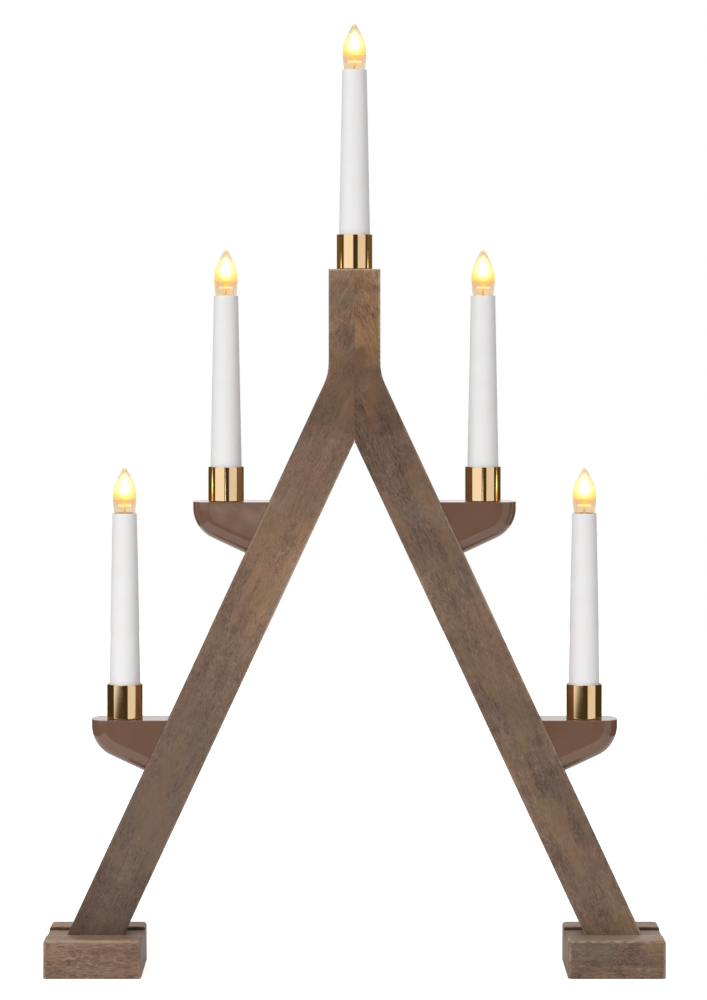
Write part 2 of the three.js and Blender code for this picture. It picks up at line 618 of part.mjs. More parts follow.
// Legs, feet and what joins them, with the leads and the gland.
function frame() {
  const parts = new THREE.Group();
  const channelEndZ = LOWER_SHELF_Z - LEAD_HOLE_DROP - 2 * HOLE_RADIUS;
  parts.add(
    piece('left_leg', mirrored(board(channelEndZ, false)), stainedWood()),
    piece('right_leg', board(GLAND_Z, true), stainedWood()),
  );
  for (const [side, sign] of [['left', -1], ['right', 1]]) {
    const shaped = (geometry) => (sign < 0 ? mirrored(geometry) : geometry);
    const block = piece(`${side}_foot`, shaped(foot()), footWood());
    block.position.x = sign * FOOT_CENTRE_X;
    const fixing = piece(`${side}_foot_screw`, screw(FOOT_SCREW_LENGTH), screwSteel());
    fixing.position.set(sign * footScrewX(), 0, COUNTERBORE_DEPTH);
    parts.add(block, fixing);
  }
  ['upper', 'lower'].forEach((level, i) => {
    const half = new THREE.Vector3(DOWEL_LENGTH / 2, 0, 0);
    const dowel = piece(`${level}_neck_dowel`,
      bar(half.clone().negate(), half, DOWEL_RADIUS), dowelWood());
    dowel.position.set(0, dowelY(), dowelHeights()[i]);
    parts.add(dowel);
  });
  const bush = piece('cord_gland', gland(), glandRubber());
  bush.position.set(legCentreX(GLAND_Z), 0, GLAND_Z);
  bush.rotation.x = -Math.PI / 2;
  parts.add(
    piece('left_lead', leftLead(), leadSheath()),
    piece('right_lead', rightLead(), leadSheath()),
    bush,
  );
  return parts;
}

// The shelf on one leg at one height, with its screw.
function shelfWithScrew(level, side, shelfZ) {
  const parts = new THREE.Group();
  const shaped = (geometry) => (side === 'left' ? mirrored(geometry) : geometry);
  parts.add(
    piece(`${level}_${side}_shelf`, shaped(shelf(shelfZ)), shelfPlastic()),
    piece(`${level}_${side}_shelf_screw`, shaped(shelfScrew(shelfZ)), screwSteel()),
  );
  return parts;
}

// One candle with its cup and bulb, standing at x on a seat of height seatZ.
function candle(place, x, seatZ, rise) {
  const upright = new THREE.Group();
  upright.position.set(x, 0, seatZ);
  const lamp = new THREE.Group();
  lamp.position.z = rise;
  lamp.add(
    piece(`${place}_lamp_holder`, lampHolder(), holderPlastic()),
    piece(`${place}_screw_shell`, screwShell(), contactBrass()),
    piece(`${place}_centre_contact`, centreContact(), contactBrass()),
    piece(`${place}_bulb_cap`, bulbCap(), capNickel()),
    piece(`${place}_bulb_glass`, bulbGlassShell(), bulbGlass()),
    piece(`${place}_light_body`, lightBody(), warmLight()),
  );
  upright.add(
    piece(`${place}_cup`, cup(), polishedBrass()),
    piece(`${place}_candle_sleeve`, sleeve(rise), sleevePlastic()),
    lamp,
  );
  return upright;
}

const group = new THREE.Group();
group.name = 'advent_candlestick';
group.add(frame(), candle('top', 0, NECK_TOP_Z, CANDLE_RISE - TOP_CANDLE_DROP));
for (const [level, z] of [['upper', UPPER_SHELF_Z], ['lower', LOWER_SHELF_Z]]) {
  for (const [side, sign] of [['left', -1], ['right', 1]]) {
    group.add(
      shelfWithScrew(level, side, z),
      candle(`${level}_${side}`, sign * (legOuterX(z) + CUP_OFFSET), z, CANDLE_RISE),
    );
  }
}

export default group;
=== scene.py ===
"""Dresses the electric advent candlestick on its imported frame.

The frame, the studio and all meshes are in metres, with +Z up and the front toward -Y. Sizes in the
classes of the wooden frame, the shelves, the cups and the candles are in millimetres. The order is:
writing of shaders, finishes, shapes, the object's assemblies, the studio, main.
"""
import logging
import math
from collections.abc import Mapping, Sequence
from dataclasses import dataclass
from enum import Enum

import bmesh
import bpy
from mathutils import Matrix, Vector


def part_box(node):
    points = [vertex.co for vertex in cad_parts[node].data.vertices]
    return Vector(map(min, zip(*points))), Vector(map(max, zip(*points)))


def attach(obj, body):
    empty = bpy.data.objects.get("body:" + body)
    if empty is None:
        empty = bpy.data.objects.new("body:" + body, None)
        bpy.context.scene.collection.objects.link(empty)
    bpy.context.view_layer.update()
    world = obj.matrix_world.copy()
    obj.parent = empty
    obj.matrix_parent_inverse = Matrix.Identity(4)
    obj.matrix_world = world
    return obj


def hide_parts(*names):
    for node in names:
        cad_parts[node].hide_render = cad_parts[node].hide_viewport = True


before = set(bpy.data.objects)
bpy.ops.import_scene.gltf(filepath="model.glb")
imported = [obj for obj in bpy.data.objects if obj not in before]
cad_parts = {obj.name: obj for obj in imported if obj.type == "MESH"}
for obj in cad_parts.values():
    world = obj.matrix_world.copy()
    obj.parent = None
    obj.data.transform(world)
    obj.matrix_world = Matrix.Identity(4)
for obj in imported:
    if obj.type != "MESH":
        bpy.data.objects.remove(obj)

MM = 0.001
SAME_PLACE = 0.1  # millimetres within which two places count as one

Colour = tuple[float, float, float]  # linear red, green and blue
Offset = tuple[float, float, float]  # x, y and z
Corner = tuple[float, float, float]  # two coordinates and a rounding
Point = tuple[float, float]
Span = tuple[float, float]  # where a soft step starts and where it is done

log = logging.getLogger("candlestick")


def tone(red: int, green: int, blue: int) -> Colour:
    """Turns a colour in steps of 0 to 255 into linear light.

    Args:
        red: Red step.
        green: Green step.
        blue: Blue step.

    Returns:
        The linear colour.
    """
    shares = [value / 255 for value in (red, green, blue)]
    return tuple(v / 12.92 if v <= 0.04045 else ((v + 0.055) / 1.055) ** 2.4 for v in shares)


@dataclass(frozen=True)
class Signal:
    """A node's output. Arithmetic on it adds Math nodes to its graph."""

    graph: "ShaderGraph"
    socket: bpy.types.NodeSocket

    def __add__(self, other: "Signal | float") -> "Signal":
        """Adds two values."""
        return self.graph.math("ADD", self, other)

    def __radd__(self, other: float) -> "Signal":
        """Adds a number before the value."""
        return self.graph.math("ADD", other, self)

    def __sub__(self, other: "Signal | float") -> "Signal":
        """Takes a value away."""
        return self.graph.math("SUBTRACT", self, other)

    def __rsub__(self, other: float) -> "Signal":
        """Takes the value away from a number."""
        return self.graph.math("SUBTRACT", other, self)

    def __mul__(self, other: "Signal | float") -> "Signal":
        """Multiplies two values."""
        return self.graph.math("MULTIPLY", self, other)

    def __rmul__(self, other: float) -> "Signal":
        """Multiplies a number by the value."""
        return self.graph.math("MULTIPLY", other, self)

    def __truediv__(self, other: "Signal | float") -> "Signal":
        """Divides by a value."""
        return self.graph.math("DIVIDE", self, other)

    def __abs__(self) -> "Signal":
        """Gives the size of the value without its sign."""
        return self.graph.math("ABSOLUTE", self)


Link = Signal | float | Colour


class ShaderGraph:
    """A node tree that is written as expressions."""

    def __init__(self, tree: bpy.types.NodeTree) -> None:
        """Empties the tree and keeps it."""
        self.tree = tree
        tree.nodes.clear()

    def node(self, kind: str, settings: Mapping[str, object] | None = None,
             sockets: Mapping[int | str, Link] | None = None,
             output: int | str | None = 0) -> Signal | None:
        """Adds a node, makes its settings and then fills its sockets.

        Args:
            kind: The node's type.
            settings: The node's own settings; stops are a ramp's places and colours.
            sockets: A value or link for each input, by name or number.
            output: The output to give back, or None for a node without one.

        Returns:
            The chosen output.
        """
        made = self.tree.nodes.new(kind)
        for name, value in (settings or {}).items():
            if name == "stops":
                self._set_stops(made.color_ramp, value)
            else:
                setattr(made, name, value)
        for key, value in (sockets or {}).items():
            socket = made.inputs[key]
            if isinstance(value, Signal):
                self.tree.links.new(value.socket, socket)
            elif socket.type == "RGBA":
                socket.default_value = (*value, 1.0)
            else:
                socket.default_value = value
        return None if output is None else Signal(self, made.outputs[output])

    @staticmethod
    def _set_stops(ramp: bpy.types.ColorRamp, stops: Sequence[tuple[float, Colour]]) -> None:
        """Sets a ramp's stops.

        Args:
            ramp: The ramp.
            stops: Place and colour of each stop, in order.
        """
        while len(ramp.elements) < len(stops):
            ramp.elements.new(1.0)
        for element, (position, colour) in zip(ramp.elements, stops):
            element.position = position
            element.color = (*colour, 1.0)

    def math(self, operation: str, *values: Signal | float) -> Signal:
        """Adds a Math node."""
        return self.node("ShaderNodeMath", {"operation": operation}, dict(enumerate(values)))

    def place(self) -> Signal:
        """Gives the point on the piece, in the piece's own metres."""
        return self.node("ShaderNodeTexCoord", output="Object")

    def facing(self) -> Signal:
        """Gives the direction that the surface looks in, in the piece's own axes."""
        return self.node("ShaderNodeTexCoord", output="Normal")

    def parts(self, vector: Signal) -> tuple[Signal, Signal, Signal]:
        """Splits a vector.

        Args:
            vector: The vector.

        Returns:
            Its three parts.
        """
        first = self.node("ShaderNodeSeparateXYZ", sockets={0: vector})
        outputs = first.socket.node.outputs
        return first, Signal(self, outputs[1]), Signal(self, outputs[2])

    def turned(self, vector: Signal, degrees: float) -> Signal:
        """Turns a vector about Y."""
        return self.node("ShaderNodeVectorRotate", {"rotation_type": "Y_AXIS"},
                         {"Vector": vector, "Angle": math.radians(degrees)})

    def moved(self, vector: Signal, by: Offset) -> Signal:
        """Shifts a vector by metres along each axis."""
        return self.node("ShaderNodeVectorMath", {"operation": "ADD"}, {0: vector, 1: by})

    def cells(self, vector: Signal, x: float, y: float, z: float) -> Signal:
        """Counts a vector in cells of the given millimetres along each axis."""
        counts = (1 / (x * MM), 1 / (y * MM), 1 / (z * MM))
        return self.node("ShaderNodeVectorMath", {"operation": "MULTIPLY"}, {0: vector, 1: counts})

    def noise(self, vector: Signal, detail: float = 2.0, distortion: float = 0.0) -> Signal:
        """Gives a soft random value round a half, one cell to a bump.

        Args:
            vector: Place in cells.
            detail: How many finer layers it has.
            distortion: How far it swirls.

        Returns:
            The value.
        """
        return self.node("ShaderNodeTexNoise", None, {
            "Vector": vector, "Scale": 1.0, "Detail": detail, "Roughness": 0.55,
            "Distortion": distortion}, "Fac")

    def balance(self, *layers: tuple[Signal, float]) -> Signal:
        """Adds noises by weight, so that their sum stays round 0.

        Args:
            layers: Each noise with its weight.

        Returns:
            The sum.
        """
        return sum(layer * weight for layer, weight in layers) - sum(w for _, w in layers) / 2

    def rise(self, value: Signal, low: float, high: float) -> Signal:
        """Goes smoothly from 0 at the low value to 1 at the high one."""
        return self.node("ShaderNodeMapRange", {"interpolation_type": "SMOOTHSTEP"},
                         {0: value, 1: low, 2: high})

    def mix(self, amount: Signal | float, first: Link, second: Link, how: str = "MIX") -> Signal:
        """Mixes two colours.

        Args:
            amount: Share of the second colour.
            first: The colour at 0.
            second: The colour at 1.
            how: The kind of mixing.

        Returns:
            The mixed colour.
        """
        return self.node("ShaderNodeMix", {"data_type": "RGBA", "blend_type": how},
                         {0: amount, 6: first, 7: second}, 2)

    def ramp(self, value: Signal, stops: Sequence[tuple[float, Colour]]) -> Signal:
        """Looks a value up in a ramp of colours."""
        return self.node("ShaderNodeValToRGB", {"stops": stops}, {0: value}, "Color")

    def bump(self, height: Signal, depth: float, strength: float) -> Signal:
        """Tilts the surface by a height.

        Args:
            height: Height from 0 to 1.
            depth: Millimetres between heights 0 and 1.
            strength: Share of the effect.

        Returns:
            The tilted direction.
        """
        return self.node("ShaderNodeBump", None,
                         {"Strength": strength, "Distance": depth * MM, "Height": height})


@dataclass(frozen=True)
class Finish:
    """A finish that builds one material."""

    label: str

    def material(self) -> bpy.types.Material:
        """Builds the material.

        Returns:
            The material, on one Principled shader.
        """
        made = bpy.data.materials.new(self.label)
        made.use_nodes = True
        graph = ShaderGraph(made.node_tree)
        shader = graph.node("ShaderNodeBsdfPrincipled", None, self.paint(graph))
        graph.node("ShaderNodeOutputMaterial", None, {"Surface": shader}, None)
        return made

    def paint(self, graph: ShaderGraph) -> dict[str, Link]:
        """Gives the values and links of the shader's sockets."""
        raise NotImplementedError


@dataclass(frozen=True)
class StainedWood(Finish):
    """Pale hardwood under a thin grey-brown stain, its grain in one direction.

    The grain leans by some degrees to the right of upright. The cut says which stretch of the endless
    wood the piece is from, the shade makes it lighter or darker and the figure stronger or calmer.
    """

    lean: float = 0.0
    cut: float = 0.0
    shade: float = 0.0
    figure: float = 1.0
    dark: Colour = tone(80, 62, 51)
    light: Colour = tone(154, 123, 101)
    grey: Colour = tone(108, 96, 82)
    golden: Colour = tone(136, 107, 78)
    red: Colour = tone(132, 97, 80)
    pore: Colour = tone(62, 46, 38)
    rubbed: Colour = tone(166, 142, 122)
    end: Colour = tone(116, 94, 78)

    def rubbing(self, graph: ShaderGraph, place: Signal) -> Signal | float:
        """Says where the stain is rubbed thin along the edges."""
        return 0.0

    def painted_shade(self, graph: ShaderGraph, place: Signal) -> Signal | float:
        """Says where shade is painted dark into the wood."""
        return 0.0

    def paint(self, graph: ShaderGraph) -> dict[str, Link]:
        """Lays streaks, fibres, pores and patches along the grain.

        Args:
            graph: The graph to write in.

        Returns:
            The shader's sockets.
        """
        place = graph.place()
        cut = (self.cut, 0.37 * self.cut, -0.61 * self.cut)
        grain = graph.moved(graph.turned(place, self.lean), cut)
        # Each noise has its cells in millimetres across, through and along the grain.
        clouds = graph.noise(graph.cells(grain, 21, 21, 120), 3.0, 0.4)
        mottle = graph.noise(graph.cells(grain, 5, 5, 17), 3.0, 0.5)
        streaks = graph.noise(graph.cells(grain, 2.6, 2.6, 48), 3.0)
        fibres = graph.noise(graph.cells(grain, 0.8, 0.8, 4), 3.0)
        flecks = graph.noise(graph.cells(grain, 0.6, 0.6, 1.5), 2.0)
        curl = graph.noise(graph.cells(grain, 34, 34, 8), 2.0, 0.6)
        pores = graph.rise(graph.noise(graph.cells(grain, 0.7, 0.7, 4.2), 1.0), 0.58, 0.7)
        shifted = graph.moved(place, cut)
        patches = graph.noise(graph.cells(shifted, 44, 44, 44), 2.0)
        blush = graph.noise(graph.cells(shifted, 31, 31, 58), 2.0)
        honey = graph.noise(graph.cells(graph.moved(grain, cut), 13, 13, 38), 3.0, 0.4)
        level = graph.balance((clouds, 0.9), (mottle, 0.45), (streaks, 0.4), (curl, 0.35),
                              (fibres, 1.1), (flecks, 0.95))
        level = level * self.figure + (self.shade + 0.5)
        colour = graph.mix(level, self.dark, self.light)
        colour = graph.mix(graph.rise(patches, 0.48, 0.68) * 0.5, colour, self.grey)
        colour = graph.mix(graph.rise(blush, 0.5, 0.7) * 0.35, colour, self.red)
        colour = graph.mix(graph.rise(honey, 0.46, 0.66) * 0.5, colour, self.golden)
        colour = graph.mix(pores * (0.28 * self.figure), colour, self.pore)
        worn = graph.rise(clouds + fibres, 0.85, 1.15)
        # For a leg this also carries painted light on the edges that look to the right.
        rubbing = worn * self.rubbing(graph, place)
        colour = graph.mix(rubbing, colour, self.rubbed)
        across_end = abs(graph.parts(graph.turned(graph.facing(), self.lean))[2])
        ends = graph.rise(across_end, 0.8, 0.95)
        speckle = graph.noise(graph.cells(place, 0.7, 0.7, 0.7), 2.0)
        colour = graph.mix(ends * (speckle * 0.9 + 0.1), colour, self.end)
        # Painted shade: the pore colour darkens the wood where the shade mask asks, in the feet's
        # grooves.
        colour = graph.mix(self.painted_shade(graph, place), colour, self.pore)
        height = fibres * 0.6 + streaks * 0.4 - pores * 0.5
        return {
            "Base Color": colour,
            "Roughness": fibres * 0.3 + 0.47 - rubbing * 0.08,
            "Normal": graph.bump(height, 0.22, 0.5),
        }


class Side(Enum):
    """The two sides of the candlestick, as the frame's nodes name them."""

    LEFT = "left"
    RIGHT = "right"


class Across(Enum):
    """The part of a leg's or a half neck's width that something covers."""

    WHOLE = "whole"
    INNER = "inner"
    OUTER = "outer"


@dataclass(frozen=True)
class Stretch:
    """A stretch of a leg's height where the wood took the stain differently.

    The middle is a height above the floor, and the stretch fades out within its reach above and below.
    """

    middle: float
    reach: float
    tint: Colour
    across: Across = Across.WHOLE


@dataclass(frozen=True)
class Vein:
    """A short pale streak in the wood, seen from the front and leaning to the right of upright."""

    x: float
    z: float
    lean: float
    half_length: float
    half_width: float
    tint: Colour

    def share(self, graph: ShaderGraph, place: Signal) -> Signal:
        """Tells how strongly the streak shows.

        Args:
            graph: The graph to write in.
            place: The point on the piece.

        Returns:
            1 along its middle and 0 at its edge.
        """
        from_middle = graph.moved(place, (-self.x * MM, 0.0, -self.z * MM))
        along = graph.turned(from_middle, -self.lean)
        endless = 1e6
        shares = graph.cells(along, self.half_width, endless, self.half_length)
        away = graph.node("ShaderNodeVectorMath", {"operation": "LENGTH"}, {0: shares}, "Value")
        frayed = graph.noise(graph.cells(along, 1.2, 1.2, 6), 2.0) * 1.6 - 0.8
        return 1 - graph.rise(away + frayed, 0.2, 1.1)


@dataclass(frozen=True)
class LegWood(StainedWood):
    """Wood of a leg, rubbed along the edges of the leg and the neck, with painted light on the edges that
    look to the right.

    The drift is how far the bounds of the stretches wander, in millimetres of height and in shares
    of the leg's width.
    """

    stretches: tuple[Stretch, ...] = ()
    veins: tuple[Vein, ...] = ()
    lean_of_leg: float = 25.0
    half_width: float = 17.0
    half_depth: float = 16.5
    crotch: float = 351.2
    neck_foot: float = 371.2
    top: float = 464.4
    rubbed_within: Span = (0.3, 1.6)
    drift: float = 70.0
    drift_across: float = 0.8

    def rubbing(self, graph: ShaderGraph, place: Signal) -> Signal:
        """Finds the rounded edges from the leg's and the neck's outlines.

        Args:
            graph: The graph to write in.
            place: The point on the piece.

        Returns:
            About 1 on an edge that looks to the right, less on one that looks to the left, and 0
            a millimetre and a half away from both. The edges that look to the right are lighter by
            painted light.
        """
        slope = math.tan(math.radians(self.lean_of_leg))
        cosine = math.cos(math.radians(self.lean_of_leg))
        x, y, z = graph.parts(graph.cells(place, 1, 1, 1))
        beside = abs(x)
        centre = (self.crotch - z) * slope + self.half_width / cosine
        in_leg = self.half_width - abs(beside - centre) * cosine
        in_neck = graph.math("MINIMUM", self.half_width - beside, z - self.neck_foot)
        inside = graph.math("MAXIMUM", in_leg, in_neck)
        inside = graph.math("MINIMUM", inside, self.top - z)
        through = self.half_depth - abs(y)
        beside_edge = (1 - graph.rise(inside, *self.rubbed_within)) * (
            1 - graph.rise(through, *self.rubbed_within))
        # Painted light: edges that look to the right get more of the rubbed colour than those that look
        # to the left.
        painted_light_from_right = graph.rise(graph.parts(graph.facing())[0], -0.25, 0.25) * 0.75 + 0.35
        return beside_edge * painted_light_from_right

    def paint(self, graph: ShaderGraph) -> dict[str, Link]:
        """Tints the wood in its stretches and along its veins.

        Args:
            graph: The graph to write in.

        Returns:
            The shader's sockets.
        """
        sockets = super().paint(graph)
        place = graph.place()
        wander = graph.noise(graph.cells(place, 26, 26, 34), 2.0)
        height = graph.parts(graph.cells(place, 1, 1, 1))[2] + wander * self.drift - self.drift / 2
        drifted = self.across(graph, place) + wander * self.drift_across - self.drift_across / 2
        outward = graph.rise(drifted, 0.2, 0.8)
        shares = {Across.WHOLE: 1.0, Across.INNER: 1 - outward, Across.OUTER: outward}
        colour = sockets["Base Color"]
        for stretch in self.stretches:
            away = abs(height - stretch.middle)
            near = (1 - graph.rise(away, 0.3 * stretch.reach, stretch.reach)) * shares[stretch.across]
            colour = graph.mix(near, colour, stretch.tint, "MULTIPLY")
        for vein in self.veins:
            colour = graph.mix(vein.share(graph, place), colour, vein.tint, "MULTIPLY")
        return {**sockets, "Base Color": colour}

    def across(self, graph: ShaderGraph, place: Signal) -> Signal:
        """Measures across the leg and its half of the neck.

        Args:
            graph: The graph to write in.
            place: The point on the piece.

        Returns:
            0 at the inner edge or the seam and 1 at the outer edge.
        """
        slope = math.tan(math.radians(self.lean_of_leg))
        width = 2 * self.half_width / math.cos(math.radians(self.lean_of_leg))
        x, _, z = graph.parts(graph.cells(place, 1, 1, 1))
        out = (self.crotch - z) * slope
        inner = graph.math("MAXIMUM", out, 0.0)
        outer = graph.math("MAXIMUM", out + width, self.half_width)
        return (abs(x) - inner) / (outer - inner)


@dataclass(frozen=True)
class FootWood(StainedWood):
    """Wood of a foot, with its grain along X, rubbed along the upper edges, with painted light on its top
    and painted shade in its groove.
    """

    centre: float = 171.9
    half_width: float = 32.0
    half_depth: float = 38.8
    height: float = 25.3
    half_groove: float = 16.8
    groove_floor: float = 22.8
    rubbed_within: Span = (0.5, 2.4)
    painted_top_light: float = 0.3

    def rubbing(self, graph: ShaderGraph, place: Signal) -> Signal:
        """Finds the edges of the block and the lips of its groove.

        Args:
            graph: The graph to write in.
            place: The point on the piece.

        Returns:
            1 on an edge and 0 two or three millimetres away from it.
        """
        x, y, z = graph.parts(graph.cells(place, 1, 1, 1))
        sideways = self.half_width - abs(abs(x) - self.centre)
        through = self.half_depth - abs(y)
        below = self.height - z
        lip = abs(abs(y) - self.half_groove)
        nearest = graph.math("MINIMUM", graph.math("MAXIMUM", sideways, through),
                             graph.math("MAXIMUM", graph.math("MINIMUM", sideways, through), below))
        nearest = graph.math("MINIMUM", nearest, graph.math("MAXIMUM", lip, below))
        return 1 - graph.rise(nearest, *self.rubbed_within)

    def painted_shade(self, graph: ShaderGraph, place: Signal) -> Signal:
        """Paints shade on the walls of the groove and in the corners at their feet.

        Args:
            graph: The graph to write in.
            place: The point on the piece.

        Returns:
            Up to 0.75 of painted shade on a wall and in its corner, and 0 two millimetres away.
        """
        _, y, z = graph.parts(graph.cells(place, 1, 1, 1))
        beside = 1 - graph.rise(abs(abs(y) - self.half_groove), 0.3, 1.8)
        low = 1 - graph.rise(z, self.height - 1.1, self.height - 0.3)
        inside = graph.rise(z, self.groove_floor - 0.4, self.groove_floor - 0.2)
        # Painted shade on the groove's walls and in their corners.
        return beside * low * inside * 0.75

    def paint(self, graph: ShaderGraph) -> dict[str, Link]:
        """Paints the top lighter, as painted light from above.

        Args:
            graph: The graph to write in.

        Returns:
            The shader's sockets.
        """
        sockets = super().paint(graph)
        # Painted light: faces that look up are lightened toward the rubbed colour.
        up = graph.rise(graph.parts(graph.facing())[2], 0.75, 0.97)
        colour = graph.mix(up * self.painted_top_light, sockets["Base Color"], self.rubbed)
        return {**sockets, "Base Color": colour}


# The woods of this candlestick. Their stretches and veins are given in millimetres.
DARK_FORK = Stretch(380, 42, (0.8, 0.73, 0.67))
PALE_NECK_TOP = Stretch(468, 24, (1.16, 1.18, 1.2))
NECK_STRETCHES = (
    DARK_FORK,
    Stretch(410, 26, (0.8, 0.78, 0.78), Across.INNER),
    Stretch(416, 34, (1.16, 1.15, 1.1), Across.OUTER),
    PALE_NECK_TOP,
)
FORK_VEIN_TINT = (1.26, 1.27, 1.3)

LEG_WOODS: Mapping[Side, LegWood] = {
    Side.LEFT: LegWood(
        "left_leg_wood", lean=-25.0, cut=0.14, shade=0.0, figure=1.15,
        stretches=(
            *NECK_STRETCHES,
            Stretch(440, 40, (1.08, 1.03, 0.96)),
            Stretch(290, 70, (1.06, 1.06, 1.06)),
            Stretch(0, 260, (0.74, 0.77, 0.85)),
            Stretch(42, 45, (0.78, 0.77, 0.74)),
            Stretch(262, 44, (1.2, 1.18, 1.12), Across.INNER),
            Stretch(457, 12, (1.12, 1.12, 1.12)),
            Stretch(419, 14, (1.14, 1.15, 1.2), Across.OUTER),
        ),
        veins=(
            Vein(-5.5, 375.0, 24.0, 11.0, 1.7, FORK_VEIN_TINT),
            Vein(-5.2, 451.0, 33.0, 12.0, 1.5, (1.3, 1.28, 1.1)),
            Vein(-8.6, 446.0, 33.0, 9.0, 1.1, (1.2, 1.2, 1.05)),
        )),
    Side.RIGHT: LegWood(
        "right_leg_wood", lean=25.0, cut=0.48, shade=-0.12, figure=1.15,
        stretches=(
            *NECK_STRETCHES,
            Stretch(440, 50, (1.22, 1.12, 0.92)),
            Stretch(345, 45, (0.84, 0.83, 0.84)),
            Stretch(272, 24, (0.84, 0.84, 0.86)),
            Stretch(168, 28, (0.86, 0.86, 0.86)),
            Stretch(375, 24, (1.17, 1.16, 1.14), Across.INNER),
            Stretch(205, 40, (0.82, 0.82, 0.82), Across.INNER),
            Stretch(114, 30, (0.8, 0.82, 0.85), Across.OUTER),
            Stretch(430, 8.5, (1.32, 1.34, 1.36), Across.INNER),
            Stretch(414, 9, (0.84, 0.83, 0.86), Across.INNER),
            Stretch(457, 10, (1.18, 1.16, 1.16), Across.OUTER),
            Stretch(445, 9, (0.8, 0.82, 0.9), Across.OUTER),
        ),
        veins=(
            Vein(6.5, 376.5, -28.0, 10.0, 1.7, FORK_VEIN_TINT),
            Vein(7.5, 446.0, -20.0, 12.0, 2.2, (1.2, 1.2, 1.1)),
        )),
}
FOOT_WOODS: Mapping[Side, FootWood] = {
    Side.LEFT: FootWood("left_foot_wood", lean=90.0, cut=0.67, shade=-0.05, figure=1.95, painted_top_light=0.29),
    Side.RIGHT: FootWood("right_foot_wood", lean=90.0, cut=1.13, shade=-0.37, figure=1.55, painted_top_light=0.45),
}
GLUE_STRETCHES = (
    DARK_FORK,
    Stretch(410, 26, (0.8, 0.78, 0.78)),
    Stretch(440, 45, (1.12, 1.06, 0.94)),
    PALE_NECK_TOP,
)


@dataclass(frozen=True)
class MouldedPlastic(Finish):
    """Moulded plastic with flow marks, a fine ripple and smudges in its gloss.

    The gloss is the lowest roughness, the bend the index of refraction, and the shine tints the
    reflections. The ripple is a depth and the flow the width of a flow mark, in millimetres.
    """

    colour: Colour = tone(200, 200, 200)
    deeper: Colour = tone(180, 180, 180)
    gloss: float = 0.3
    smudges: float = 0.1
    ripple: float = 0.02
    flow: float = 20.0
    bend: float = 1.5
    shine: Colour = (1.0, 1.0, 1.0)

    def paint(self, graph: ShaderGraph) -> dict[str, Link]:
        """Lays flow marks, specks and ripple.

        Args:
            graph: The graph to write in.

        Returns:
            The shader's sockets.
        """
        place = graph.place()
        flow = graph.noise(graph.cells(place, self.flow, self.flow, 2.5 * self.flow), 3.0, 0.8)
        cloud = graph.noise(graph.cells(place, 9, 9, 9), 3.0)
        speck = graph.noise(graph.cells(place, 0.6, 0.6, 0.6), 2.0)
        hair = graph.rise(graph.noise(graph.cells(graph.turned(place, 38), 0.4, 12, 9), 1.0), 0.66, 0.74)
        ripple = graph.noise(graph.cells(place, 1.6, 1.6, 1.6), 2.0)
        amount = graph.rise(flow, 0.35, 0.65) * 0.7 + graph.rise(speck, 0.62, 0.75) * 0.3
        return {
            "Base Color": graph.mix(amount, self.colour, self.deeper),
            "Roughness": graph.rise(cloud, 0.35, 0.7) * self.smudges + hair * 0.06 + self.gloss,
            "IOR": self.bend,
            "Specular Tint": self.shine,
            "Normal": graph.bump(ripple + speck * 0.3 - hair * 0.3, self.ripple, 0.6),
        }


@dataclass(frozen=True)
class TurnedMetal(Finish):
    """Metal turned on a lathe and polished or left satin.

    The gloss is the lowest roughness, and the lines and the wear make it rougher.
    """

    colour: Colour = (0.9, 0.9, 0.9)
    tarnish: Colour = (0.8, 0.8, 0.8)
    gloss: float = 0.1
    lines: float = 0.05
    wear: float = 0.35

    def paint(self, graph: ShaderGraph) -> dict[str, Link]:
        """Lays fine turning lines, tarnish and handling marks.

        Args:
            graph: The graph to write in.

        Returns:
            The shader's sockets.
        """
        place = graph.place()
        rings = graph.noise(graph.cells(place, 60, 60, 0.18), 2.0)
        bloom = graph.noise(graph.cells(place, 7, 7, 11), 3.0, 0.5)
        specks = graph.rise(graph.noise(graph.cells(place, 0.5, 0.5, 0.5), 1.0), 0.66, 0.76)
        stain = graph.rise(bloom, 0.45, 0.75) * self.wear + specks * 0.12
        return {
            "Base Color": graph.mix(stain, self.colour, self.tarnish),
            "Metallic": 1.0,
            "Roughness": rings * self.lines + stain * 0.08 + self.gloss,
            "Normal": graph.bump(rings + bloom * 0.5, 0.004, 0.35),
        }


@dataclass(frozen=True)
class DullSheath(Finish):
    """Soft dark sheath or rubber with dust in its pores."""

    colour: Colour = tone(44, 40, 38)
    dust: Colour = tone(84, 78, 73)
    rough: float = 0.6

    def paint(self, graph: ShaderGraph) -> dict[str, Link]:
        """Lays dust over a pebbled skin.

        Args:
            graph: The graph to write in.

        Returns:
            The shader's sockets.
        """
        place = graph.place()
        pebbles = graph.noise(graph.cells(place, 0.5, 0.5, 0.5), 2.0)
        dust = graph.rise(graph.noise(graph.cells(place, 6, 6, 14), 3.0), 0.45, 0.75)
        return {
            "Base Color": graph.mix(dust * 0.5 + pebbles * 0.15, self.colour, self.dust),
            "Roughness": dust * 0.15 + pebbles * 0.1 + self.rough,
            "Normal": graph.bump(pebbles, 0.05, 0.5),
        }


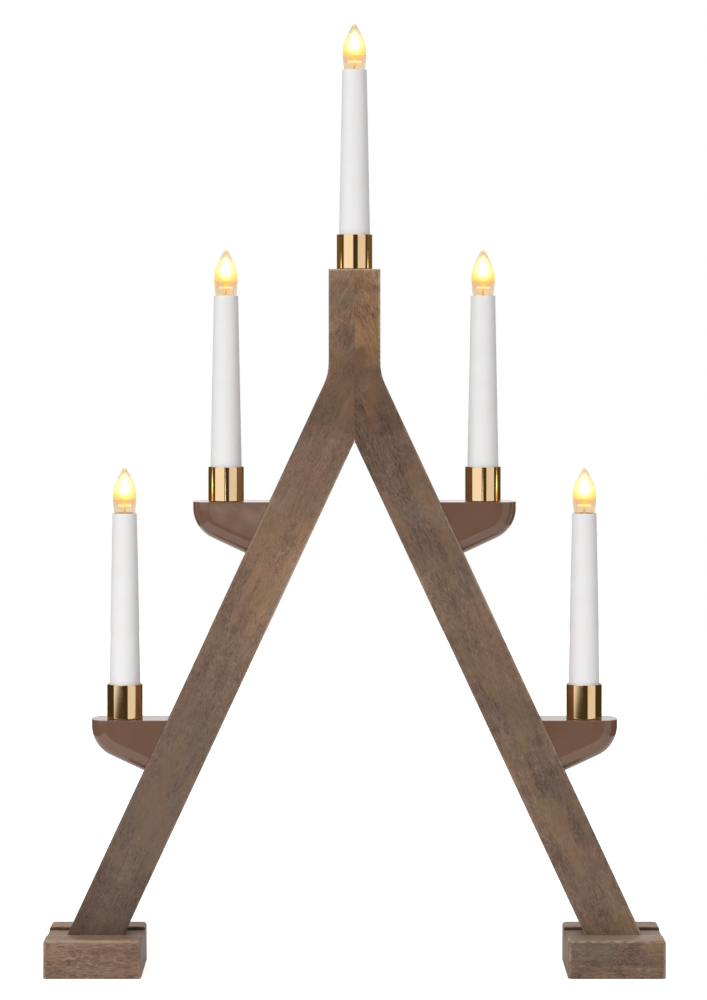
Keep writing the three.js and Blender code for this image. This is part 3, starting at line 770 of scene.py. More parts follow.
@dataclass(frozen=True)
class BulbGlass(Finish):
    """Clear glass, painted warm and glowing as painted light where it stands in the light of its own
    lamp, and misted higher up.
    """

    foot: float = -5.0
    tip: float = 30.0
    misted: Span = (7.0, 12.0)

    def paint(self, graph: ShaderGraph) -> dict[str, Link]:
        """Tints the glass in bands from its foot to its tip and paints in the glow of the lamp inside.

        Args:
            graph: The graph to write in.

        Returns:
            The shader's sockets.
        """
        place = graph.place()
        wobble = graph.noise(graph.cells(place, 6, 6, 8), 2.0)
        height = graph.parts(graph.cells(place, 1, 1, 1))[2] + wobble * 2.0 - 1.0
        share = (height - self.foot) / (self.tip - self.foot)
        # Painted light: the warm bands stand in for the lamp's light inside the glass.
        tint = graph.ramp(share, [
            (0.0, (0.91, 0.8, 0.64)), (0.25, (0.91, 0.79, 0.62)), (0.35, (0.9, 0.72, 0.52)),
            (0.4, (0.92, 0.7, 0.42)), (0.5, (0.98, 0.84, 0.5)), (0.6, (0.98, 0.96, 0.66)),
            (0.8, (0.98, 0.98, 0.8)), (0.9, (0.94, 0.88, 0.64)), (1.0, (0.86, 0.71, 0.45))])
        # Painted light: the glass glows, though only the light body inside is a lamp.
        glow = graph.ramp(share, [
            (0.0, (0.0, 0.0, 0.0)), (0.3, (0.01, 0.005, 0.001)), (0.38, (0.04, 0.015, 0.003)),
            (0.43, (0.14, 0.09, 0.01)), (0.65, (0.12, 0.085, 0.012)), (0.85, (0.04, 0.02, 0.006)),
            (1.0, (0.01, 0.005, 0.0))])
        swirl = graph.noise(graph.cells(place, 3, 3, 5), 1.0)
        return {
            "Base Color": tint,
            "Roughness": graph.rise(height, *self.misted) * 0.45 + 0.02,
            "IOR": 1.46,
            "Transmission Weight": 1.0,
            "Emission Color": glow,
            "Emission Strength": 1.0,
            "Normal": graph.bump(swirl, 0.12, 0.2),
        }


@dataclass(frozen=True)
class WarmLight(Finish):
    """The lit body of the lamp: an amber stem, a bright disc and a white-hot core."""

    foot: float = -18.0
    tip: float = 27.0

    def material(self) -> bpy.types.Material:
        """Builds the material and keeps its surface out of the light sampling.

        Returns:
            The material.
        """
        made = super().material()
        made.cycles.emission_sampling = "NONE"
        return made

    def paint(self, graph: ShaderGraph) -> dict[str, Link]:
        """Colours the light in bands from the stem to the tip.

        Args:
            graph: The graph to write in.

        Returns:
            The shader's sockets.
        """
        place = graph.place()
        cloud = graph.noise(graph.cells(place, 2, 2, 3), 2.0)
        height = graph.parts(graph.cells(place, 1, 1, 1))[2] + cloud - 0.5
        share = (height - self.foot) / (self.tip - self.foot)
        glow = graph.ramp(share, [
            (0.0, (0.1, 0.04, 0.01)), (0.4, (0.2, 0.09, 0.02)), (0.49, (0.26, 0.15, 0.05)),
            (0.51, (0.6, 0.54, 0.36)), (0.54, (0.26, 0.16, 0.06)), (0.6, (0.3, 0.19, 0.06)),
            (0.64, (0.75, 0.6, 0.25)), (0.69, (1.0, 0.97, 0.9)), (0.9, (1.0, 0.97, 0.85)),
            (1.0, (0.8, 0.7, 0.4))])
        return {
            "Base Color": tone(255, 214, 140),
            "Roughness": cloud * 0.2 + 0.3,
            "Emission Color": glow,
            "Emission Strength": 2.0,
            "Normal": graph.bump(cloud, 0.05, 0.3),
        }


class Place(Enum):
    """The five places of a candle."""

    TOP = "top"
    UPPER_LEFT = "upper_left"
    UPPER_RIGHT = "upper_right"
    LOWER_LEFT = "lower_left"
    LOWER_RIGHT = "lower_right"

    @property
    def side(self) -> int:
        """Gives -1 on the left, 1 on the right and 0 in the middle."""
        return {"left": -1, "right": 1}.get(self.value.rpartition("_")[2], 0)

    def node(self, part: str) -> str:
        """Names a part of this place."""
        return f"{self.value}_{part}"


def eased(corners: Sequence[Corner], closed: bool = False, steps: int = 5) -> list[Point]:
    """Rounds the corners of an outline.

    Args:
        corners: Two coordinates and a rounding for each corner, in order.
        closed: Whether the last corner is joined to the first.
        steps: Number of pieces in each rounding.

    Returns:
        The points of the rounded outline.
    """
    points: list[Point] = []
    count = len(corners)
    for i, (x, y, rounding) in enumerate(corners):
        if rounding <= 0 or (not closed and i in (0, count - 1)):
            points.append((x, y))
            continue
        here = Vector((x, y))
        toward = [(Vector(corners[(i + d) % count][:2]) - here).normalized() for d in (-1, 1)]
        start, stop = (here + way * rounding for way in toward)
        for k in range(steps + 1):
            t = k / steps
            spot = start * (1 - t) ** 2 + here * 2 * t * (1 - t) + stop * t * t
            points.append((spot.x, spot.y))
    return points


def flowing(points: Sequence[Point], steps: int = 5) -> list[Point]:
    """Draws a smooth curve through points.

    Args:
        points: The points, in order.
        steps: Number of pieces between two points.

    Returns:
        The points of the curve.
    """
    spots = [Vector(p) for p in points]
    spots = [spots[0] * 2 - spots[1], *spots, spots[-1] * 2 - spots[-2]]
    curve: list[Point] = []
    for a, b, c, d in zip(spots, spots[1:], spots[2:], spots[3:]):
        for k in range(steps):
            t = k / steps
            spot = (b * 2 + (c - a) * t + (a * 2 - b * 5 + c * 4 - d) * t * t
                    + (b * 3 - a - c * 3 + d) * t ** 3) / 2
            curve.append((spot.x, spot.y))
    return [*curve, tuple(points[-1])]


def lathe(profile: Sequence[Point], closed: bool, sides: int) -> bmesh.types.BMesh:
    """Turns a half section about the upright axis.

    Args:
        profile: Radius and height of each point, in millimetres.
        closed: Whether the section joins up, round a hole; otherwise it starts and ends on the axis.
        sides: Number of sides.

    Returns:
        The shape, in metres.
    """
    shape = bmesh.new()
    rings: list[list[bmesh.types.BMVert]] = []
    for radius, height in profile:
        count = 1 if radius == 0 else sides
        angles = [2 * math.pi * k / sides for k in range(count)]
        rings.append([shape.verts.new((radius * math.cos(a) * MM, radius * math.sin(a) * MM,
                                       height * MM)) for a in angles])
    pairs = zip(rings, [*rings[1:], rings[0]] if closed else rings[1:])
    for low, high in pairs:
        for k in range(sides):
            ring = [low[k % len(low)], low[(k + 1) % len(low)],
                    high[(k + 1) % len(high)], high[k % len(high)]]
            corners = list(dict.fromkeys(ring))
            if len(corners) > 2:
                shape.faces.new(corners)
    bmesh.ops.recalc_face_normals(shape, faces=shape.faces)
    return shape


def finished(name: str, shape: bmesh.types.BMesh, crease: float = 35.0) -> bpy.types.Object:
    """Makes an object from a shape, smooth but for its creases.

    Args:
        name: The object's name.
        shape: The shape, which is used up.
        crease: Degrees from which an edge stays sharp.

    Returns:
        The object, linked to the scene.
    """
    mesh = bpy.data.meshes.new(name)
    bmesh.ops.recalc_face_normals(shape, faces=shape.faces)
    shape.to_mesh(mesh)
    shape.free()
    mesh.shade_smooth()
    mesh.set_sharp_from_angle(angle=math.radians(crease))
    made = bpy.data.objects.new(name, mesh)
    bpy.context.scene.collection.objects.link(made)
    return made


def settled(piece: bpy.types.Object) -> bpy.types.Object:
    """Applies an object's modifiers to its mesh.

    Args:
        piece: The object.

    Returns:
        The same object without modifiers.
    """
    bpy.context.view_layer.update()
    graph = bpy.context.evaluated_depsgraph_get()
    mesh = bpy.data.meshes.new_from_object(piece.evaluated_get(graph))
    piece.modifiers.clear()
    piece.data = mesh
    return piece


def evened(piece: bpy.types.Object) -> bpy.types.Object:
    """Keeps large faces flat in the light beside small roundings.

    Args:
        piece: The object.

    Returns:
        The same object, with a modifier for its normals.
    """
    even = piece.modifiers.new("even_shading", "WEIGHTED_NORMAL")
    even.keep_sharp = True
    return piece


def rod(start: Vector, stop: Vector, radius: float, sides: int = 32) -> bmesh.types.BMesh:
    """Makes a round rod for cutting a hole.

    Args:
        start: One end, in millimetres.
        stop: The other end.
        radius: Radius in millimetres.
        sides: Number of sides.

    Returns:
        The shape, in metres.
    """
    along = stop - start
    shape = lathe([(0, 0), (radius, 0), (radius, along.length), (0, along.length)], False, sides)
    turn = Vector((0, 0, 1)).rotation_difference(along).to_matrix().to_4x4()
    bmesh.ops.transform(shape, matrix=Matrix.Translation(start * MM) @ turn, verts=shape.verts)
    return shape


def bored(piece: bpy.types.Object, cutters: Sequence[bmesh.types.BMesh],
          crease: float = 35.0) -> bpy.types.Object:
    """Cuts shapes out of an object.

    Args:
        piece: The object to cut.
        cutters: The shapes, in the object's own metres.
        crease: Degrees from which an edge stays sharp.

    Returns:
        The same object, cut.
    """
    for shape in cutters:
        cutter = finished("cutter", shape)
        cut = piece.modifiers.new("cut", "BOOLEAN")
        cut.operation, cut.solver, cut.object = "DIFFERENCE", "EXACT", cutter
        settled(piece)
        bpy.data.objects.remove(cutter)
    piece.data.shade_smooth()
    piece.data.set_sharp_from_angle(angle=math.radians(crease))
    return evened(piece)


def dress(node: str, material: bpy.types.Material) -> None:
    """Gives a node of the frame its finish."""
    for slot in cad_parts[node].material_slots:
        slot.material = material


def install(piece: bpy.types.Object, node: str, body: str,
            material: bpy.types.Material) -> None:
    """Puts a piece in the place of a node and makes it move with its body.

    Args:
        piece: The piece.
        node: The node that it stands for.
        body: The body that it rides on.
        material: Its finish.
    """
    piece.data.materials.clear()
    piece.data.materials.append(material)
    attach(piece, body)
    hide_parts(node)
    log.info("%s: %d faces, rides on %s", piece.name, len(piece.data.polygons), body)


@dataclass
class WoodenFrame:
    """Legs, feet, dowels, screws, leads, gland and the glue in the neck's seam."""

    seam_width: float = 0.298
    seam_foot: float = 351.6
    seam_fork: float = 387.0
    glue_depth: float = 4.0
    glue_below_top: float = 0.1
    glue_sunk: float = 0.03
    glue_waviness: float = 0.02
    glue_wave_step: float = 1.7
    glue_crown: float = 0.01
    glue_steps: int = 40
    foot_width: float = 64.0
    foot_depth: float = 77.6
    foot_height: float = 25.3
    groove_width: float = 33.6
    groove_depth: float = 2.5
    corner_rounding: float = 3.0
    top_rounding: float = 2.2
    lip_rounding: float = 0.7
    rounding_steps: int = 5
    screw_bore: float = 2.3
    counterbore: float = 4.3
    counterbore_depth: float = 7.9
    overrun: float = 2.0

    def build(self) -> None:
        """Dresses the legs and the small parts and makes the feet."""
        for side in Side:
            dress(f"{side.value}_leg", LEG_WOODS[side].material())
            self.foot(side)
        self.small_parts()
        self.glue_line("front", -1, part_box("left_leg")[1].z / MM - self.glue_below_top)
        self.glue_line("back", 1, self.seam_fork)
        log.info("wooden frame dressed")

    def small_parts(self) -> None:
        """Dresses the screws, the leads, the dowels and the gland."""
        finishes = {
            "_screw": TurnedMetal("zinc_screw", tone(168, 170, 172), tone(120, 120, 118),
                                  gloss=0.28, lines=0.1, wear=0.5),
            "_lead": DullSheath("lead_sheath"),
            "_dowel": StainedWood(
                "dowel_wood", lean=90.0, cut=0.4, dark=tone(180, 148, 100), light=tone(216, 190, 148),
                grey=tone(196, 170, 126), golden=tone(210, 178, 122), red=tone(206, 168, 122),
                pore=tone(140, 108, 70), end=tone(150, 118, 78)),
            "cord_gland": DullSheath("gland_rubber", tone(34, 32, 31), tone(70, 66, 62), rough=0.7),
        }
        for ending, finish in finishes.items():
            material = finish.material()
            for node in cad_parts:
                if node.endswith(ending):
                    dress(node, material)

    def glue_line(self, side: str, sign: int, top: float) -> None:
        """Lays a strip of glue in the neck's seam, just under the surface.

        Args:
            side: The side of the neck that it shows on.
            sign: -1 at the front and 1 at the back.
            top: Height of its upper end, in millimetres.
        """
        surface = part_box("left_leg")[1].y / MM
        half = self.seam_width / 2
        shape = bmesh.new()
        rings: list[list[bmesh.types.BMVert]] = []
        for k in range(self.glue_steps + 1):
            z = self.seam_foot + (top - self.seam_foot) * k / self.glue_steps
            crest = surface - self.glue_sunk - self.glue_waviness * math.sin(self.glue_wave_step * k)
            edge, deep = crest - self.glue_crown, crest - self.glue_depth
            section = [(-half, edge), (0, crest), (half, edge), (half, deep), (-half, deep)]
            rings.append([shape.verts.new((x * MM, sign * y * MM, z * MM)) for x, y in section])
        for ring, above in zip(rings, rings[1:]):
            for k, corner in enumerate(ring):
                after = (k + 1) % len(ring)
                shape.faces.new([corner, ring[after], above[after], above[k]])
        shape.faces.new(rings[0])
        shape.faces.new(rings[-1])
        piece = finished(f"neck_glue_{side}", shape)
        stain = LegWood(f"stained_glue_{side}", lean=0.0, cut=0.2, shade=-0.04, figure=0.7,
                        stretches=GLUE_STRETCHES)
        piece.data.materials.append(stain.material())
        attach(piece, "frame")
        log.info("%s: %d faces, rides on frame", piece.name, len(piece.data.polygons))

    def foot(self, side: Side) -> None:
        """Makes one foot: a grooved block with rounded corners, bored for its screw.

        Args:
            side: The side that it stands on.
        """
        low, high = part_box(f"{side.value}_foot")
        centre = (low.x + high.x) / 2 / MM
        piece = finished(f"{side.value}_grooved_foot", self.grooved_block(centre))
        rounding = piece.modifiers.new("rounding", "BEVEL")
        rounding.limit_method = "WEIGHT"
        rounding.width = self.corner_rounding * MM
        rounding.segments = self.rounding_steps
        rounding.use_clamp_overlap = False
        settled(piece)
        screw_low, screw_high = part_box(f"{side.value}_foot_screw")
        x = (screw_low.x + screw_high.x) / 2 / MM
        below = Vector((x, 0, -self.overrun))
        bored(piece, [rod(below, Vector((x, 0, self.foot_height)), self.screw_bore),
                      rod(below, Vector((x, 0, self.counterbore_depth)), self.counterbore)])
        install(piece, f"{side.value}_foot", "frame", FOOT_WOODS[side].material())

    def grooved_block(self, centre: float) -> bmesh.types.BMesh:
        """Makes the block with its groove, each edge weighted by its rounding.

        Args:
            centre: Where its middle stands along X, in millimetres.

        Returns:
            The shape, in metres.
        """
        half_x, half_y, half_groove = self.foot_width / 2, self.foot_depth / 2, self.groove_width / 2
        top, floor = self.foot_height, self.foot_height - self.groove_depth
        outline = [(-half_y, 0), (half_y, 0), (half_y, top), (half_groove, top), (half_groove, floor),
                   (-half_groove, floor), (-half_groove, top), (-half_y, top)]
        shape = bmesh.new()
        ends = [[shape.verts.new(((centre + x) * MM, y * MM, z * MM)) for y, z in outline]
                for x in (-half_x, half_x)]
        shape.faces.new(ends[0])
        shape.faces.new(ends[1])
        for k in range(len(outline)):
            j = (k + 1) % len(outline)
            shape.faces.new([ends[0][k], ends[0][j], ends[1][j], ends[1][k]])
        weight = shape.edges.layers.float.new("bevel_weight_edge")
        for edge in shape.edges:
            edge[weight] = self.rounding_of(edge, half_y, half_groove, top, floor) / self.corner_rounding
        return shape

    def rounding_of(self, edge: bmesh.types.BMEdge, half_y: float, half_groove: float,
                    top: float, floor: float) -> float:
        """Tells how far an edge of the block is rounded.

        Args:
            edge: The edge.
            half_y: Half of the block's depth.
            half_groove: Half of the groove's width.
            top: Height of the block.
            floor: Height of the groove's floor.

        Returns:
            The rounding in millimetres.
        """
        first, second = (v.co / MM for v in edge.verts)
        middle = (first + second) / 2
        upright = abs(first.z - second.z) > SAME_PLACE
        along = abs(first.x - second.x) > SAME_PLACE
        if upright:
            return self.corner_rounding if abs(middle.y) > half_groove + SAME_PLACE else self.lip_rounding
        if middle.z < SAME_PLACE:
            return 0.0
        if along:
            if abs(abs(middle.y) - half_y) < SAME_PLACE:
                return self.top_rounding
            return self.lip_rounding if middle.z > top - SAME_PLACE else 0.0
        return self.top_rounding if middle.z > floor + SAME_PLACE else self.lip_rounding


@dataclass
class SideShelf:
    """A moulded shelf: flat top, rounded nose, underside square to its leg."""

    place: Place
    lean: float = 25.0
    length: float = 50.4
    drop: float = 34.2
    nose_radius: float = 22.0
    nose_steps: int = 14
    rounding: float = 11.0
    rounding_steps: int = 9
    half_depth: float = 16.0
    gap: float = 0.03
    rim_rounding: float = 0.7
    rim_steps: int = 3
    socket_radius: float = 5.3
    socket_depth: float = 14.0
    cup_offset: float = 28.7
    lead_hole: float = 1.8
    lead_drop: float = 10.25
    screw_hole: float = 2.3
    screw_drop: float = 25.0
    screw_reach: float = 15.3
    bore_sides: int = 16
    overrun: float = 5.0
    crease: float = 30.0

    def rows(self) -> list[tuple[Vector, Vector]]:
        """Goes down the nose and along the underside to the leg.

        Returns:
            Points of the middle line with the outward direction at each, in millimetres.
        """
        lean = math.radians(self.lean)
        slope = math.tan(lean)
        turn = math.pi / 2 - lean
        corner = self.drop - (self.length - self.drop * slope) * slope
        nose = corner - self.nose_radius * math.tan(turn / 2)
        centre = Vector((self.length - self.nose_radius, -nose))
        rows = [(Vector((self.length, 0)), Vector((1, 0)))]
        for k in range(self.nose_steps + 1):
            angle = -turn * k / self.nose_steps
            outward = Vector((math.cos(angle), math.sin(angle)))
            rows.append((centre + outward * self.nose_radius, outward))
        heel = Vector((self.drop * slope + self.gap * math.cos(lean),
                       -self.drop + self.gap * math.sin(lean)))
        rows.append((heel, rows[-1][1]))
        return rows

    def section(self) -> list[Point]:
        """Gives the cross-section of the rounded border, from front to back.

        Returns:
            The place through the shelf and the set-back of each point, in millimetres.
        """
        steps = self.rounding_steps
        angles = [math.pi / 2 * (1 - k / steps) for k in range(steps + 1)]
        flat = self.half_depth - self.rounding
        front = [(-flat - self.rounding * math.sin(a), self.rounding * (1 - math.cos(a))) for a in angles]
        return [*front, *((-y, inset) for y, inset in reversed(front))]

    def shape(self) -> bmesh.types.BMesh:
        """Builds the shelf's shape, on the right side, from the top of the leg's outer face.

        Returns:
            The shape, in metres.
        """
        shape = bmesh.new()
        section = self.section()
        grid = [[shape.verts.new(((spot - outward * inset).x * MM, y * MM,
                                  (spot - outward * inset).y * MM)) for y, inset in section]
                for spot, outward in self.rows()]
        root = self.gap / math.cos(math.radians(self.lean))
        root_front, root_back = (shape.verts.new((root * MM, y * MM, 0))
                                 for y in (-self.half_depth, self.half_depth))
        for upper, lower in zip(grid, grid[1:]):
            for k in range(len(section) - 1):
                shape.faces.new([upper[k], upper[k + 1], lower[k + 1], lower[k]])
        top = shape.faces.new([root_front, *grid[0], root_back])
        shape.faces.new([root_front, *(row[0] for row in grid)])
        shape.faces.new([root_back, *(row[-1] for row in grid)])
        shape.faces.new([root_front, *grid[-1], root_back])
        rim = [e for e in top.edges if {root_front, root_back} != set(e.verts)]
        bmesh.ops.bevel(shape, geom=rim, offset=self.rim_rounding * MM, segments=self.rim_steps,
                        profile=0.5, affect="EDGES")
        return shape

    def build(self, material: bpy.types.Material) -> None:
        """Makes the shelf, bores it and puts it at its leg.

        Args:
            material: The plastic.
        """
        node = self.place.node("shelf")
        low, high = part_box(node)
        side = self.place.side
        lean = math.radians(self.lean)
        piece = finished(self.place.node("moulded_shelf"), self.shape(), self.crease)
        across = Vector((self.overrun, 0, 0))
        up = Vector((0, 0, self.overrun))
        square = Vector((math.cos(lean), 0, math.sin(lean)))
        socket = Vector((self.cup_offset, 0, 0))
        lead = Vector((0, 0, -self.lead_drop))
        screw = Vector((self.screw_drop * math.tan(lean), 0, -self.screw_drop))
        bored(piece, [
            rod(socket - Vector((0, 0, self.socket_depth)), socket + up, self.socket_radius),
            rod(lead - across, lead + socket, self.lead_hole, self.bore_sides),
            rod(screw - square * self.overrun, screw + square * self.screw_reach, self.screw_hole,
                self.bore_sides),
        ], self.crease)
        if side < 0:
            piece.data.transform(Matrix.Scale(-1, 4, (1, 0, 0)))
            piece.data.flip_normals()
        outer = high.x if side > 0 else -low.x
        piece.location = (side * (outer - self.length * MM), 0, high.z)
        install(piece, node, "frame", material)


@dataclass
class BrassCup:
    """A polished cup on a hollow spigot, measured up from its seat."""

    place: Place
    radius: float = 11.9
    base: float = 0.12
    top: float = 22.9
    wall: float = 0.9
    floor: float = 1.8
    spigot_radius: float = 5.0
    spigot_bore: float = 3.4
    spigot_length: float = 6.5
    sides: int = 112

    def build(self, material: bpy.types.Material) -> None:
        """Turns the cup and sets it on its seat.

        Args:
            material: The brass.
        """
        inside = self.radius - self.wall
        profile = eased([
            (self.spigot_bore, -self.spigot_length, 0.2), (self.spigot_radius, -self.spigot_length, 0.4),
            (self.spigot_radius, self.base, 0.0), (self.radius, self.base, 0.5),
            (self.radius, self.top, 0.4), (inside, self.top, 0.3), (inside, self.floor, 0.4),
            (self.spigot_bore, self.floor, 0.2)], closed=True)
        node = self.place.node("cup")
        low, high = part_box(node)
        piece = evened(finished(self.place.node("brass_cup"), lathe(profile, True, self.sides)))
        piece.location = ((low.x + high.x) / 2, 0, high.z - self.top * MM)
        install(piece, node, "frame", material)


@dataclass
class Candle:
    """A white tapered sleeve round its lamp holder, with a flame-shaped bulb on top."""

    place: Place
    foot_radius: float = 10.7
    top_radius: float = 8.05
    foot_wall: float = 1.2
    top_wall: float = 0.85
    glass_wall: float = 0.7
    stem_radius: float = 0.75
    collar_radius: float = 1.1
    disc_radius: float = 4.5
    disc_height: float = 4.6
    disc_thickness: float = 1.1
    core_foot: float = 8.8
    core_radius: float = 3.6
    core_top: float = 25.5
    core_outline: tuple[Point, ...] = (
        (0.4, 0.0), (0.55, 0.12), (0.86, 0.28), (1.0, 0.42), (0.74, 0.56), (0.44, 0.7), (0.24, 0.86),
        (0.0, 1.0))
    glass_outline: tuple[Point, ...] = (
        (4.7, -5.0), (6.35, -2.5), (6.85, 0.0), (7.47, 5.1), (7.7, 9.0), (7.7, 12.6), (7.3, 15.9),
        (6.55, 18.6), (5.6, 21.0), (3.65, 24.9), (2.2, 27.6), (1.08, 29.4), (0.0, 30.0))
    solid_tip: float = 28.4
    narrowest_bore: float = 0.5
    bore_tip: float = 0.5
    sleeve_sides: int = 96
    glass_sides: int = 72
    glass_crease: float = 60.0
    light_sides: int = 48
    light_crease: float = 50.0

    def build(self, finishes: Mapping[str, bpy.types.Material]) -> None:
        """Makes the sleeve, the glass and the light, and dresses the lamp holder.

        Args:
            finishes: The materials by the record's slots.
        """
        low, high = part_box(self.place.node("candle_sleeve"))
        middle = Vector(((low.x + high.x) / 2, 0, high.z))
        self.sleeve(middle, (high.z - low.z) / MM, finishes["sleeve_plastic"])
        self.glass(middle, finishes["bulb_glass"])
        self.light(middle, finishes["warm_light"])
        for part, slot in (("lamp_holder", "holder_plastic"), ("screw_shell", "contact_brass"),
                           ("centre_contact", "contact_brass"), ("bulb_cap", "cap_nickel")):
            dress(self.place.node(part), finishes[slot])

    def sleeve(self, middle: Vector, height: float, material: bpy.types.Material) -> None:
        """Turns the sleeve, measured down from its rim.

        Args:
            middle: Middle of the rim.
            height: Height of the sleeve, in millimetres.
            material: The plastic.
        """
        profile = eased([
            (self.foot_radius - self.foot_wall, -height, 0.3), (self.foot_radius, -height, 0.4),
            (self.top_radius, 0, 0.5), (self.top_radius - self.top_wall, 0, 0.3)], closed=True)
        piece = evened(finished(self.place.node("white_sleeve"), lathe(profile, True, self.sleeve_sides)))
        piece.location = middle
        install(piece, self.place.node("candle_sleeve"), self.place.node("candle"),
                material)

    def glass(self, middle: Vector, material: bpy.types.Material) -> None:
        """Blows the bulb's glass, measured up from the sleeve's rim.

        Args:
            middle: Middle of the rim.
            material: The glass.
        """
        outside = flowing(self.glass_outline)
        inside: list[Point] = []
        for before, here, after in zip(outside, outside[1:], outside[2:]):
            way = (Vector(after) - Vector(before)).normalized()
            radius, height = here[0] - way.y * self.glass_wall, here[1] + way.x * self.glass_wall
            if radius > self.narrowest_bore and height < self.solid_tip:
                inside.append((radius, height))
        foot_radius, foot = self.glass_outline[0]
        inside = [(foot_radius - self.glass_wall, foot), *inside, (0, inside[-1][1] + self.bore_tip)]
        shape = lathe([*reversed(inside), *outside], False, self.glass_sides)
        piece = finished(self.place.node("flame_glass"), shape, self.glass_crease)
        piece.location = middle
        install(piece, self.place.node("bulb_glass"), self.place.node("bulb"), material)

    def light(self, middle: Vector, material: bpy.types.Material) -> None:
        """Makes the light: stem, disc and core, measured up from the sleeve's rim.

        Args:
            middle: Middle of the rim.
            material: The glowing finish.
        """
        low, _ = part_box(self.place.node("light_body"))
        foot = (low.z - middle.z) / MM
        disc_top = self.disc_height + self.disc_thickness
        tall = self.core_top - self.core_foot
        core = flowing([(r * self.core_radius, self.core_foot + h * tall) for r, h in self.core_outline])
        stem = eased([
            (0, foot, 0), (self.stem_radius, foot, 0.2), (self.stem_radius, self.disc_height, 0),
            (self.disc_radius, self.disc_height, 0.5), (self.disc_radius, disc_top, 0.5),
            (self.collar_radius, disc_top, 0), (core[0][0], self.core_foot, 0)])
        shape = lathe([*stem[:-1], *core], False, self.light_sides)
        piece = finished(self.place.node("glowing_light"), shape, self.light_crease)
        piece.location = middle
        install(piece, self.place.node("light_body"), self.place.node("bulb"), material)


@dataclass(frozen=True)
class Lamp:
    """A soft square lamp; its place and its side are in metres."""

    name: str
    place: Offset
    side: float
    watts: float


@dataclass(frozen=True)
class Window:
    """A bright stretch of the surround, in degrees to the right of the front."""

    start: float
    stop: float
    share: float = 1.0
    soft: float = 6.0

    def opening(self, graph: ShaderGraph, bearing: Signal) -> Signal:
        """Tells how much light the surround shows.

        Args:
            graph: The graph to write in.
            bearing: Degrees to the right of the front.

        Returns:
            The share inside the window, and 0 outside of its soft ends.
        """
        opened = graph.rise(bearing, self.start, self.start + self.soft)
        closed = graph.rise(bearing, self.stop, self.stop + self.soft)
        return opened * (1 - closed) * self.share


